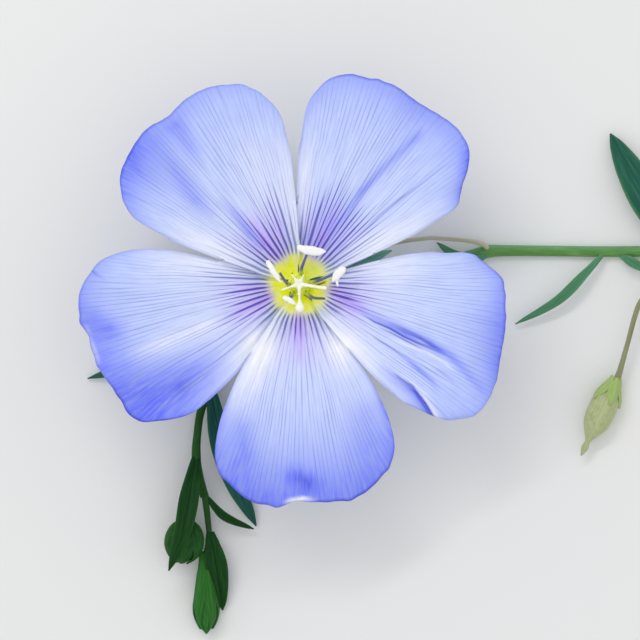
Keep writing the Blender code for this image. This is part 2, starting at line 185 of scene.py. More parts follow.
FACTOR, FIRST, SECOND = 0, 6, 7  # the colour sockets of a Mix node
COLOURS = {"out": 2, "data_type": "RGBA"}  # makes a Mix node one of colours
SOFTLY = {"interpolation_type": "SMOOTHSTEP"}
PLUS = {"operation": "ADD"}
TIMES = {"operation": "MULTIPLY"}
TIMES_PLUS = {"operation": "MULTIPLY_ADD"}


def surface(name, **values):
    """A new material, its node tree and its shader, whose named sockets take the values."""
    material = bpy.data.materials.new(name)
    material.use_nodes = True
    shader = material.node_tree.nodes["Principled BSDF"]
    for key, value in values.items():
        shader.inputs[key.replace("_", " ")].default_value = value
    return material, material.node_tree, shader


def waxy_stem(name, shade, body, light, upper, gloss=0.3):
    """Living stem skin: fine ridges of fibre under a thin bloom of wax, which gives a soft broad shine. One
    side is painted lighter and bluer as a painted highlight on the wax, and a cut end shows the pale pith."""
    material, tree, shader = surface(name, Roughness=0.5, IOR=1.45, Specular_IOR_Level=gloss)
    place = add(tree, "Attribute", {}, out=1, attribute_name="place")
    # Streaks follow the stem: one is 0.06 mm wide but nearly 2 mm long
    streaks = add(tree, "Mapping", {"Vector": place, "Scale": (3.2, 3.2, 0.3)})
    fibre = add(tree, "TexNoise", {"Vector": streaks, "Scale": 2.0, "Detail": 2.0})
    patches = add(tree, "TexNoise", {"Vector": place, "Scale": 0.45, "Detail": 2.0})
    both = add(tree, "Math", (fibre, patches), **PLUS)
    tone = add(tree, "Math", (both, 0.5), **TIMES)
    colour = add(tree, "ValToRGB", {"Fac": tone}, stops=[(0.34, shade), (0.5, body), (0.68, light)])
    # One side is painted lighter and bluer: a painted highlight on the wax bloom
    side = add(tree, "SeparateXYZ", {"Vector": place}, out=0)
    painted_highlight_side = add(tree, "MapRange", (side, -0.2, 0.9, 0.0, 0.75))
    flat = add(tree, "VectorMath", (place, (1.0, 1.0, 0.0)), **TIMES)
    middle = add(tree, "VectorMath", (flat,), out=1, operation="LENGTH")
    pith = add(tree, "MapRange", (middle, 0.97, 0.85))
    for factor, over in ((painted_highlight_side, upper), (pith, "#cfd8a8")):
        colour = add(tree, "Mix", {FACTOR: factor, FIRST: colour, SECOND: srgb(over)}, **COLOURS)
    bump = add(tree, "Bump", {"Height": fibre, "Strength": 0.4, "Distance": 0.05 * MM})
    tree.links.new(colour, shader.inputs["Base Color"])
    tree.links.new(bump, shader.inputs["Normal"])
    return material


def ridged(turn, length):
    """Faint ridges round the stem, which wind slowly along it."""
    return 1 + STEM_RIDGE * np.cos(STEM_RIDGES * turn + 0.12 * length)


stem_green = waxy_stem("stem_wax_green", "#4c7a36", "#5b8c41", "#79a860", "#66a077")
tube("main_stem", smooth_path(STEM, step=0.28), stem_green, LEAFY_STEM, 36, ridged, CUT_SLANT)

# The leaves on the stem
# Narrow blades without stalks, a quarter of a millimetre thick, with one sunken midrib. They grew out of
# the stem, and their wax makes them more blue than the stem.
LEAF_SHAPE = ((0.0, 0.35), (0.12, 0.6), (0.4, 1.0), (0.7, 0.8), (0.9, 0.42), (1.0, 0.05))
LEAF_FOLD = 0.25
LEAF_THICK = 0.24
LEAF_ACROSS = 24
LEAF_WAVE = 0.03  # how far the edges wave up and down
GROOVE, GROOVE_WIDTH = 0.05, 0.07  # of the sunken midrib
# Each leaf's midrib, its width, and whether it is one of the old dark ones
STEM_LEAVES = (
    (((21.75, 2.3, 0.5), (20.4, 0.85, 0.95), (18.4, -1.12, 0.95), (15.4, -2.82, 0.4)), 0.72, False),
    (((27.6, 2.6, 0.5), (26.0, 4.2, 1.2), (24.2, 6.95, 1.3), (22.15, 10.75, 0.6)), 2.5, True),
    (((31.5, 3.1, 0.5), (29.8, 0.9, 1.1), (28.6, -2.2, 1.0), (28.2, -5.4, 0.3)), 1.2, False),
    (((13.5, 2.2, 0.5), (12.4, 1.75, 0.8), (11.0, 2.15, 0.85), (9.8, 3.0, 0.6)), 0.75, False),
    (((22.85, 2.1, 0.45), (23.6, 1.65, 0.85), (24.5, 1.15, 0.85), (25.05, 0.85, 0.7)), 0.7, False),
    (((-3.2, -2.8, 0.5), (-7.6, -4.4, 1.3), (-11.6, -5.7, 1.1), (-15.1, -6.7, 0.25)), 1.3, True),
    (((-1.2, -0.7, 0.5), (-3.0, 3.0, 1.4), (-5.0, 7.2, 1.2), (-6.8, 11.2, 0.25)), 1.3, True),
)


def blade(name, grid, thick, material, home, **attributes):
    """A closed thin blade round a grid of points of its middle surface, row by row. Its thickness is one
    number or a grid of them. Each attribute is a grid of three values, kept the same on both faces, and
    face holds 1 on the upper one and 0 on the other."""
    rows, columns = grid.shape[:2]
    normal = unit(np.cross(np.gradient(grid, axis=1), np.gradient(grid, axis=0)))
    half = np.broadcast_to(np.array(thick) / 2, (rows, columns))[:, :, None]
    upper = (grid + normal * half).reshape(-1, 3)
    lower = (grid - normal * half).reshape(-1, 3)
    index = np.arange(rows * columns).reshape(rows, columns)
    a, b, c, d = index[:-1, :-1], index[:-1, 1:], index[1:, 1:], index[1:, :-1]
    quads = np.stack([a, b, c, d], 2).reshape(-1, 4)
    faces = [*quads.tolist(), *(quads[:, ::-1] + rows * columns).tolist()]
    rim = [*index[0], *index[1:, -1], *index[-1, -2::-1], *index[-2:0:-1, 0]]
    for p, q in zip(rim, [*rim[1:], rim[0]]):
        faces.append((q, p, p + rows * columns, q + rows * columns))
    both = {key: np.concatenate([values.reshape(-1, 3)] * 2) for key, values in attributes.items()}
    shown = np.concatenate([np.ones((rows * columns, 3)), np.zeros((rows * columns, 3))])
    piece(name, np.concatenate([upper, lower]), faces, material, home, face=shown, **both)


def leaf(name, midrib, width, material, home, shape=LEAF_SHAPE, thick=LEAF_THICK):
    """A narrow leaf along its midrib, folded up a little, thin at its edges and sunk along its middle."""
    path = smooth_path(midrib, step=0.13)
    share = np.linspace(-1, 1, LEAF_ACROSS + 1)[None, :]
    s = np.linspace(0, 1, len(path))[:, None]
    heading = unit(np.gradient(path, axis=0))
    side = unit(np.cross(heading, (0.0, 0.0, 1.0)))
    full = along(shape, s)
    half = width / 2 * full
    rise = LEAF_FOLD * full * half * np.abs(share) + LEAF_WAVE * np.sin(9 * s + 2 * share) * share**2
    groove = -GROOVE * np.exp(-((share * half / GROOVE_WIDTH) ** 2)) * np.minimum(1, half / 0.3)
    grid = path[:, None, :] + side[:, None, :] * (half * share)[:, :, None]
    grid[:, :, 2] += rise + groove
    taper = thick * (1 - 0.7 * np.abs(share) ** 3) * np.minimum(1, 0.35 + full)
    place = together(share, s, half * share)
    blade(name, grid, taper, material, home, place=place)


def waxy_leaf(name, dark, body, light, edge, gloss=0.25):
    """Leaf skin under a bloom of wax: matt and bluish above, with a pale midrib and fine long veins."""
    material, tree, shader = surface(name, Roughness=0.5, IOR=1.42, Specular_IOR_Level=gloss)
    place = add(tree, "Attribute", {}, out=1, attribute_name="place")
    share = add(tree, "SeparateXYZ", {"Vector": place}, out=0)
    width = add(tree, "Math", (share,), operation="ABSOLUTE")
    # Fine streaks follow the leaf, about eleven on each side of its midrib
    long_grain = add(tree, "Mapping", {"Vector": place, "Scale": (7.0, 4.0, 0.0)})
    fibre = add(tree, "TexNoise", {"Vector": long_grain, "Scale": 1.6, "Detail": 2.0})
    cloud = add(tree, "TexNoise", {"Vector": place, "Scale": 3.0, "Detail": 2.0})
    both = add(tree, "Math", (fibre, cloud), **PLUS)
    tone = add(tree, "Math", (both, 0.5), **TIMES)
    colour = add(tree, "ValToRGB", {"Fac": tone}, stops=[(0.34, dark), (0.5, body), (0.68, light)])
    midrib = add(tree, "MapRange", (width, 0.2, 0.02, 0.0, 0.45))
    margin = add(tree, "MapRange", (width, 0.8, 1.0, 0.0, 0.6))
    for factor, over in ((midrib, light), (margin, edge)):
        colour = add(tree, "Mix", {FACTOR: factor, FIRST: colour, SECOND: srgb(over)}, **COLOURS)
    # Seven veins run the length of the leaf, so they are 0.1 to 0.35 mm apart
    wave = {"Vector": place, "Scale": 1.1, "Distortion": 0.6}
    veins = add(tree, "TexWave", wave, out=1, bands_direction="X")
    relief = add(tree, "Math", (veins, fibre), **PLUS)
    bump = add(tree, "Bump", {"Height": relief, "Strength": 0.35, "Distance": 0.03 * MM})
    tree.links.new(colour, shader.inputs["Base Color"])
    tree.links.new(bump, shader.inputs["Normal"])
    return material


leaf_green = waxy_leaf("leaf_wax_green", "#3f7350", "#48825e", "#629c78", "#6f9c58")
leaf_teal = waxy_leaf("leaf_wax_teal", "#1d4f40", "#235a48", "#326e58", "#5a8f58", 0.15)
for i, (midrib, width, old) in enumerate(STEM_LEAVES):
    leaf(f"stem_leaf_{i + 1}", midrib, width, leaf_teal if old else leaf_green, LEAFY_STEM)

# The spray of buds
# The stem's young end nods: a round bud and a long one hang on thin stalks among dark leaves. All of it
# grew as one, and the young skin is darker and smoother than the old stem's.
SPRAY_STEM = (
    (-2.4, -1.7, STEM_Z, 0.34), (-4.3, -4.3, STEM_Z, 0.35), (-5.33, -6.28, 0.5, 0.33),
    (-6.3, -7.6, 0.75, 0.31), (-6.95, -8.8, 0.95, 0.29), (-7.25, -10.6, 1.2, 0.28),
    (-7.33, -12.3, 1.35, 0.33), (-7.1, -13.6, 1.35, 0.28), (-6.75, -15.1, 1.3, 0.32),
)
LOWER_STALK = (
    (-6.72, -14.9, 1.3, 0.26), (-6.52, -16.7, 1.2, 0.22), (-6.42, -18.0, 1.1, 0.2),
    (-6.7, -19.4, 1.0, 0.2), (-6.85, -20.2, 0.95, 0.24),
)
ROUND_BUD_STALK = (
    (-7.33, -12.4, 1.2, 0.24), (-7.75, -14.2, 1.1, 0.2), (-8.0, -16.0, 1.2, 0.2), (-8.0, -17.1, 1.35, 0.24),
)
ROUND_BUD = ((-8.02, -16.75, 1.35), (-8.42, -19.85, 1.32))  # the ends of its axis
ROUND_BUD_PROFILE = (
    (0.0, 0.35), (0.12, 0.85), (0.3, 1.17), (0.5, 1.27), (0.7, 1.13), (0.88, 0.7), (1.0, 0.1),
)
LONG_BUD = ((-6.8, -19.0, 0.95), (-6.62, -24.88, 0.72))
LONG_BUD_PROFILE = (
    (0.0, 0.2), (0.15, 0.28), (0.3, 0.46), (0.5, 0.66), (0.68, 0.83), (0.8, 0.76), (0.92, 0.42), (1.0, 0.05),
)
# Each leaf's midrib, its width, and whether it is the one with the bluer wax
SPRAY_LEAVES = (
    (((-7.3, -12.0, 1.4), (-7.75, -14.8, 2.6), (-8.3, -17.7, 3.1), (-9.25, -20.3, 2.6)), 1.4, False),
    (((-6.65, -15.0, 1.35), (-5.57, -16.3, 1.3), (-4.75, -16.8, 1.1), (-3.25, -17.4, 0.7)), 0.6, False),
    (((-6.35, -17.6, 1.25), (-6.1, -18.9, 1.3), (-5.8, -20.8, 1.0), (-5.46, -23.2, 0.3)), 1.6, False),
    (((-6.3, -7.3, 0.9), (-5.7, -10.5, 1.4), (-4.6, -14.0, 1.1), (-3.08, -17.2, 0.25)), 1.7, True),
)
FIVE = 5  # a flax flower has five of each: sepals, petals, stamens, styles and cells
FIFTH = 360 / FIVE  # degrees from one to the next
CLASP_ACROSS = 20
CLASP_SHAPE = ((0.0, 0.75), (0.25, 1.0), (0.55, 0.92), (0.8, 0.5), (1.0, 0.05))
CLASP_THICK = 0.12
KEEL, KEEL_WIDTH = 0.05, 0.16  # height, and width as a share across a clasping sepal


def axis_frame(ends):
    """The start, the way along and two ways across an axis given by its two ends."""
    start, end = np.array(ends, float)
    ahead = end - start
    side = unit(np.cross(ahead, (0.0, 0.0, 1.0)))
    return start, ahead, side, unit(np.cross(side, ahead))


def turned(name, ends, profile, material, home, furrow):
    """A body turned about the axis, with shallow furrows along it, as deep as a share of its radius."""
    start, ahead = axis_frame(ends)[:2]
    s = np.linspace(0, 1, 48)
    path = np.concatenate([start + ahead * s[:, None], along(profile, s)[:, None]], 1)

    def furrowed(turn, length):
        return 1 - furrow * np.abs(np.cos(FIVE / 2 * turn)) ** 6

    tube(name, path, material, home, 40, furrowed)


def clasping_sepal(name, ends, profile, turn, spread, reach, out, material, home, flare=0.0):
    """A sepal that lies on a body turned about the axis, from its foot to a reach along the axis. It
    stands out by a gap, and its tip by the flare. Its turn about the axis and its spread are in degrees."""
    start, ahead, side, up = axis_frame(ends)
    s = np.linspace(0, 1, 40)[:, None]
    share = np.linspace(-1, 1, CLASP_ACROSS + 1)[None, :]
    t = s * reach
    angle = np.radians(turn + spread * share * along(CLASP_SHAPE, s))
    keel = KEEL * np.exp(-((share / KEEL_WIDTH) ** 2))
    radius = along(profile, np.minimum(t, 0.97)) + out + keel + flare * s**3 + 0.03 * (1 - share**2)
    spoke = side * np.cos(angle)[:, :, None] + up * np.sin(angle)[:, :, None]
    grid = start + ahead * t[:, :, None] + spoke * radius[:, :, None]
    place = together(share, s, radius * np.radians(spread) * share)
    thick = CLASP_THICK * (1 - 0.6 * share**4)
    blade(name, grid, thick, material, home, place=place)


SPRAY = ("bud", "bud_spray")
spray_green = waxy_stem("spray_skin_dark_green", "#1c4317", "#244f1c", "#2f5e26", "#2a5a24", 0.15)
bud_green = waxy_leaf("bud_skin_green", "#17401c", "#1f4f1e", "#2c6428", "#2a5a20", 0.15)
long_bud_green = waxy_leaf("long_bud_skin_green", "#225520", "#2a6622", "#357a2c", "#37623c", 0.15)
leaf_dark = waxy_leaf("spray_leaf_dark_green", "#103612", "#153f17", "#1f4f20", "#2a5a20", 0.12)
leaf_dark_blue = waxy_leaf("spray_leaf_dark_teal", "#1a473d", "#215247", "#2b6355", "#34703f", 0.12)
tube("spray_stem", smooth_path(SPRAY_STEM, step=0.25), spray_green, (*SPRAY, "leafy_stem"), 24, ridged)
tube("long_bud_stalk", smooth_path(LOWER_STALK, step=0.2), spray_green, SPRAY)
tube("round_bud_stalk", smooth_path(ROUND_BUD_STALK, step=0.2), spray_green, SPRAY)
for i, (midrib, width, bluer) in enumerate(SPRAY_LEAVES):
    leaf(f"spray_leaf_{i + 1}", midrib, width, leaf_dark_blue if bluer else leaf_dark, SPRAY)
turned("round_bud", ROUND_BUD, ROUND_BUD_PROFILE, bud_green, SPRAY, 0.06)
turned("long_bud", LONG_BUD, LONG_BUD_PROFILE, long_bud_green, SPRAY, 0.06)
for i in range(FIVE):
    clasping_sepal(
        f"round_bud_sepal_{i + 1}", ROUND_BUD, ROUND_BUD_PROFILE, turn=FIFTH * i + 20, spread=48, reach=0.98,
        out=0.03 + 0.03 * (i % 3), material=bud_green, home=SPRAY, flare=0.04,
    )
    clasping_sepal(
        f"long_bud_sepal_{i + 1}", LONG_BUD, LONG_BUD_PROFILE, turn=FIFTH * i + 50, spread=46, reach=0.94,
        out=0.01 + 0.02 * (i % 3), material=long_bud_green, home=SPRAY,
    )

# The seed capsule
# A pale, almost ripe capsule on its own thin stalk, held at its foot by five dry sepals. Its skin is
# papery, with a seam for each of its five cells, and it ends in the withered point of the styles.
CAPSULE_STALK = (
    (26.2, 1.9, 0.4, 0.24), (26.1, 1.1, 0.8, 0.22), (25.5, 0.2, 1.0, 0.2), (24.75, -0.6, 1.05, 0.19),
    (24.1, -1.6, 1.1, 0.19), (23.3, -4.4, 1.1, 0.18), (22.8, -6.2, 1.0, 0.22), (22.55, -6.95, 1.0, 0.3),
)
CAPSULE = ((22.55, -6.6, 1.02), (20.07, -12.17, 0.85))
CAPSULE_PROFILE = (
    (0.0, 0.3), (0.1, 0.52), (0.25, 0.93), (0.42, 1.02), (0.6, 0.92), (0.74, 0.46), (0.82, 0.2), (0.9, 0.27),
    (1.0, 0.06),
)
POD = ("capsule", "seed_capsule")

stalk_tan = waxy_stem("capsule_stalk_tan", "#74744e", "#858860", "#9a9a74", "#94967a")
capsule_straw = waxy_leaf("capsule_papery_straw", "#a0a877", "#adb583", "#bdc496", "#b8bf92")
capsule_sepal = waxy_leaf("capsule_sepal_green", "#91ac5c", "#9db768", "#aebf7e", "#b0ba84")
tube("capsule_stalk", smooth_path(CAPSULE_STALK, step=0.2), stalk_tan, POD)
turned("seed_capsule_body", CAPSULE, CAPSULE_PROFILE, capsule_straw, POD, 0.1)
for i in range(FIVE):
    clasping_sepal(
        f"capsule_sepal_{i + 1}", CAPSULE, CAPSULE_PROFILE, turn=FIFTH * i + 36, spread=38, reach=0.32,
        out=0.01, material=capsule_sepal, home=POD,
    )

# The flower's stalk, receptacle and sepals
# The stalk rises from the stem's node and widens into the receptacle, which carries the bloom. Five
# pointed sepals with pale papery margins grew on its rim and back the petals.
CLAW_Z = 3.4  # foot of the petals above the surface
STALK = (
    (13.5, 2.45, 0.4, 0.2), (13.0, 2.9, 0.9, 0.17), (11.7, 3.15, 1.2, 0.15), (10.5, 3.25, 1.35, 0.15),
    (9.2, 3.3, 1.5, 0.15), (6.6, 2.9, 1.65, 0.16), (4.2, 1.95, 1.55, 0.17), (2.2, 0.95, 1.45, 0.19),
    (0.8, 0.3, 1.65, 0.21), (0.1, 0.0, 2.1, 0.24), (0.0, 0.0, 2.3, 0.4),
)
RECEPTACLE = ((2.1, 0.3), (2.3, 0.75), (2.7, 1.3), (3.05, 1.6), (3.2, 1.55), (3.24, 1.1))  # height, radius
SEPALS = ((92, 0.72), (164, 0.7), (236, 1.0), (308, 1.0), (20, 1.08))  # direction, share of the full length
SEPAL_PROFILE = ((1.0, -0.75), (2.0, -0.7), (2.9, -0.05), (3.8, 0.75), (5.0, 1.35), (6.5, 1.75))
SEPAL_WIDTH = 2.5
SEPAL_SHAPE = ((0.0, 0.7), (0.3, 1.0), (0.6, 0.8), (0.85, 0.28), (1.0, 0.04))
SEPAL_THICK = 0.2
CALYX = ("stem", "calyx")


def polar(radius, direction, z):
    """The place at a radius from the flower's axis, in a direction, at a height."""
    angle = math.radians(direction)
    return (radius * math.cos(angle), radius * math.sin(angle), z)


stalk_grey = waxy_stem("stalk_grey_pink", "#a3a384", "#b2b092", "#c0bba0", "#bdb4a6")
sepal_green = waxy_leaf("sepal_wax_teal", "#63a085", "#6fae92", "#8cc2a8", "#9fc79a")
tube("flower_stalk", smooth_path(STALK, step=0.22), stalk_grey, CALYX)
cup_path = smooth_path([(0.0, 0.0, z, r) for z, r in RECEPTACLE], step=0.08)
tube("receptacle", cup_path, sepal_green, CALYX, 40)
for i, (direction, length) in enumerate(SEPALS):
    midrib = [polar(1 + (r - 1) * length, direction, CLAW_Z + z) for r, z in SEPAL_PROFILE]
    leaf(f"sepal_{i + 1}", midrib, SEPAL_WIDTH, sepal_green, CALYX, SEPAL_SHAPE, SEPAL_THICK)

# The petals
# Five loose petals, each with a narrow yellow claw that stands on the receptacle and a wide blade that
# spreads from it. A petal is 0.12 mm of soft tissue, veined from its claw, with a waved rim.
CLAW_R = 0.75  # foot of the petals from the flower's axis
SIDE_ANGLE = 33.0  # half the angle that an even petal spans at its corners
RIM_ANGLE = 28.0  # the first and last of the nine rim radii lie this far off the petal's axis
PETAL_SPREAD = (
    (0.75, 30.5), (1.0, 32.2), (1.3, 34.0), (1.55, 35.7), (1.75, 37.6), (2.1, 39.2), (2.9, 39.2),
    (3.4, 37.8), (4.4, 36.6), (6.0, 35.3), (9.0, 34.0), (10.3, 33.0), (15.6, 33.0),
)
PETAL_HEIGHT = (
    (0.75, 0.5), (1.2, 0.75), (1.6, 1.0), (2.0, 1.3), (2.5, 1.68), (3.1, 2.1), (4.5, 2.8), (7.0, 3.45),
    (10.5, 4.1), (13.0, 4.4), (15.6, 4.3),
)
# Direction, then for the clockwise and the anticlockwise side whether the edge lies over (1) or under (-1)
# the next petal, the degrees by which that side is wider near the middle, the half angle that it spans
# and the radii at its corner and at its shoulder, and then the nine rim radii from the clockwise side
PETALS = {
    "petal_1": (
        128, (1, 0.0, 33.3, 10.3, 11.9), (1, 0.0, 32.4, 9.5, 11.9),
        (13.2, 14.6, 15.1, 15.2, 14.9, 15.2, 15.0, 14.6, 13.2),
    ),
    "petal_2": (
        57, (1, 0.0, 32.7, 10.1, 12.1), (-1, 0.0, 32.3, 9.5, 12.1),
        (13.0, 14.7, 15.5, 15.4, 15.2, 15.4, 15.2, 15.0, 13.5),
    ),
    "petal_3": (
        -17, (1, 0.6, 32.6, 9.9, 11.6), (-1, 1.2, 30.1, 10.0, 10.8),
        (13.0, 14.95, 15.5, 15.2, 14.9, 14.7, 14.5, 13.7, 11.7),
    ),
    "petal_4": (
        -88, (1, 1.3, 33.2, 10.2, 11.4), (-1, 0.6, 33.0, 10.2, 11.5),
        (13.4, 14.8, 15.6, 15.5, 15.3, 15.4, 15.4, 14.7, 13.4),
    ),
    "petal_5": (
        -161, (-1, 0.0, 33.0, 9.8, 11.3), (-1, 1.3, 33.4, 10.1, 11.5),
        (13.1, 14.8, 15.5, 15.3, 15.2, 15.1, 14.9, 14.7, 12.95),
    ),
}
# Small bumps and notches of the rim: degrees from the petal's axis, half their width and their height
RIM_BUMPS = {
    "petal_1": ((-26, 1.4, 0.12), (-22.5, 1.4, 0.08), (-18.5, 2, -0.08), (27, 1.5, 0.1)),
    "petal_2": ((-25.5, 2.5, -0.2), (-18.5, 2, 0.09), (12, 1.5, 0.11), (25, 2.5, 0.14)),
    "petal_3": ((-30, 1.5, -0.4), (-25.5, 1.6, 0.28), (-20, 4, 0.2), (-8.5, 2.0, 0.1), (11, 2, -0.13),
                (18.5, 2, 0.15), (26.5, 1.2, 0.24), (30, 1.2, -0.25)),
    "petal_4": ((-24.5, 2.5, 0.2), (-7.6, 1.6, 0.24), (-2.6, 2, -0.18), (11, 1.5, 0.15), (24, 1.2, 0.1)),
    "petal_5": ((-25.5, 2.2, 0.18), (-9, 1.8, 0.2), (-5, 1.2, -0.1), (3, 1.2, 0.1), (9.5, 2, -0.1),
                (18, 2.5, 0.12), (22.2, 1.6, 0.16)),
}
SHOULDER = 0.955  # share across the petal of the point where its rim turns into its side
WIDER_BY_RADIUS = ((0.75, 0.0), (3.3, 1.0), (7.0, 1.0), (9.5, 0.0), (15.6, 0.0))
SLOPE_STEP = 0.05  # the radius over which the slope of the blade is taken
EDGE_LIFT = 0.17  # how far an edge rises over the next petal or dips under it
LIFT_ACROSS = (0.5, 0.92)  # shares across the petal over which it begins
LIFT_BY_RADIUS = ((0.75, 0.0), (1.5, 0.3), (2.5, 1.0), (7.0, 1.0), (10.0, 1.3), (15.6, 1.0))
RIM_WAVE = 0.3  # height of the rim's wide waves
WAVES_ACROSS = 2.5
WAVE_DEPTH = 4  # the power by which they grow from the claw to the rim
RIPPLE = 0.02  # height of the rim's fine ripples, which are the product of two waves across the petal
RIPPLE_WAVES = (41, 17)
PLEAT = 0.025  # height of the low pleats between the main veins
PLEATS_RISE = (1.8, 3.3)  # the radii over which they rise
PLEATS_FADE = (14.5, 8.5)
RIM_CURL = 0.1  # how far the rim itself turns down
RIM_CURL_WIDTH = 0.35
NO_RIM = (6.0, 2.0)  # radii between which a side edge stops counting as rim
FAR = 20.0  # farther than any rim
PETAL_THICK = 0.12
PETAL_COLUMNS, PETAL_ROWS = 168, 150
PETAL_CROWDING = 1.2  # the power that draws the rows together at the claw
EDGE_CROWDING = 0.8  # share of a right angle, over which the columns draw together at the sides
MAIN_VEINS = 12  # across a petal at its claw
VEIN_ANGLE = math.radians(35)  # spanned by half a petal, so the veins' widths can be in millimetres
VEIN_GAP = 2.0 / MAIN_VEINS  # between two main veins, as a share across the petal
# The main veins and the finer sets between them: place beside the main ones and half their spacing, both
# as shares across the petal, then the radius where they start, how far they take to widen, and a seed
VEIN_SETS = (
    (0.0, VEIN_GAP / 2, 0.4, 0.5, 1.0), (VEIN_GAP / 2, VEIN_GAP / 2, 3.6, 2.4, 3.0),
    (VEIN_GAP / 4, VEIN_GAP / 4, 6.8, 3.4, 9.0),
)
# The lime and the cream patches at the heart: the ends of the noise that gives them, their strength, the
# radii where they begin and the colour
HEART_PATCHES = ((0.5, 0.3, 0.8, 2.2, 1.6, "#effd20"), (0.52, 0.7, 0.3, 2.4, 2.0, "#fafcbc"))
GROUND_END = 16.0  # the radius where the ground colours end
# Painted shade in deeper blue along the rim: share across the petal, strength and how far in it reaches, in
# millimetres
RIM_SHADE = {
    "petal_1": ((-1.0, 0.2, 0.8), (-0.4, 0.25, 0.8), (0.1, 0.5, 1.8), (0.48, 0.95, 2.6), (0.75, 0.75, 1.5),
                (1, 0.3, 1)),
    "petal_2": ((-1.0, 0.2, 0.5), (-0.8, 0.75, 0.9), (-0.62, 0.9, 1.0), (-0.45, 0.45, 1.4), (0, 0.5, 1.4),
                (1, 0.3, 1)),
    "petal_3": ((-1.0, 0.3, 0.4), (-0.5, 0.15, 0.7), (-0.2, 0.75, 1.2), (0.2, 0.8, 1.7), (0.45, 0.6, 1.1),
                (1, 0.3, 0.5)),
    "petal_4": ((-1.0, 0.7, 1.6), (-0.6, 0.85, 3.2), (0.0, 0.75, 3.4), (0.5, 0.8, 3.4), (1.0, 0.75, 1.4)),
    "petal_5": ((-1.0, 0.3, 0.6), (-0.45, 0.45, 1.0), (0.1, 0.75, 2.6), (0.6, 0.95, 4.6), (1.0, 0.7, 2.2)),
}
# Painted shade: the thin dark line of the rim, where it turns down and is seen edge on: share across the
# petal and strength
RIM_SHADE_LINE = {
    "petal_1": ((-1.0, 0.1), (-0.5, 0.3), (0.0, 0.45), (0.5, 0.8), (1.0, 0.2)),
    "petal_2": ((-1.0, 0.1), (-0.75, 0.6), (-0.4, 0.4), (0.1, 0.6), (0.6, 0.7), (1.0, 0.2)),
    "petal_3": ((-1.0, 0.2), (-0.4, 0.05), (0.0, 0.4), (0.6, 0.5), (1.0, 0.3)),
    "petal_4": ((-1.0, 0.3), (-0.65, 0.9), (-0.3, 0.6), (-0.05, 0.0), (0.1, 0.8), (0.5, 1.0), (1.0, 0.3)),
    "petal_5": ((-1.0, 0.2), (-0.1, 0.5), (0.12, 0.0), (0.4, 0.9), (0.8, 1.0), (1.0, 0.3)),
}
# How far out the dark veins reach: share across the petal and radius
VEIN_REACH = {
    "petal_1": ((-1.0, 9.0), (-0.5, 9.5), (0.2, 7.2), (0.6, 8.2), (1.0, 9.5)),
    "petal_2": ((-1.0, 8.8), (-0.5, 9.0), (0.2, 9.5), (0.7, 9.0), (1.0, 7.0)),
    "petal_3": ((-1.0, 4.5), (-0.3, 6.5), (0.0, 7.0), (0.5, 7.6), (1.0, 8.6)),
    "petal_4": ((-1.0, 7.0), (-0.3, 6.0), (0.3, 6.0), (0.6, 7.0), (1.0, 8.5)),
    "petal_5": ((-1.0, 9.2), (-0.2, 8.0), (0.3, 8.0), (0.7, 6.5), (1.0, 5.0)),
}
# Painted light: how pale the two side edges are painted, clockwise and anticlockwise
SIDE_PAINTED_LIGHT = {
    "petal_1": (0.35, 0.3), "petal_2": (0.2, 0.15), "petal_3": (0.25, 0.25), "petal_4": (0.4, 0.0),
    "petal_5": (0.5, 0.2),
}
PAINTED_LIGHT_ACROSS = (0.55, 1.0)  # shares across the petal over which the paleness grows
PAINTED_LIGHT_FADE = (12.5, 6.5)  # radii
LILAC = 0.38  # strength of the flush that every petal has above its claw
LILAC_ACROSS = (0.95, 0.35)
LILAC_RISE = (1.9, 2.7)  # radii
LILAC_FADE = (6.8, 3.4)
PAINTED_SHADE, PAINTED_LIGHT, CREASE_SHADE, FLUSH, CLAW_GAP_SHADOW = range(5)  # painted shade in deeper blue, painted light in white, painted shade of a crease, violet flush, painted shadow of a gap between claws
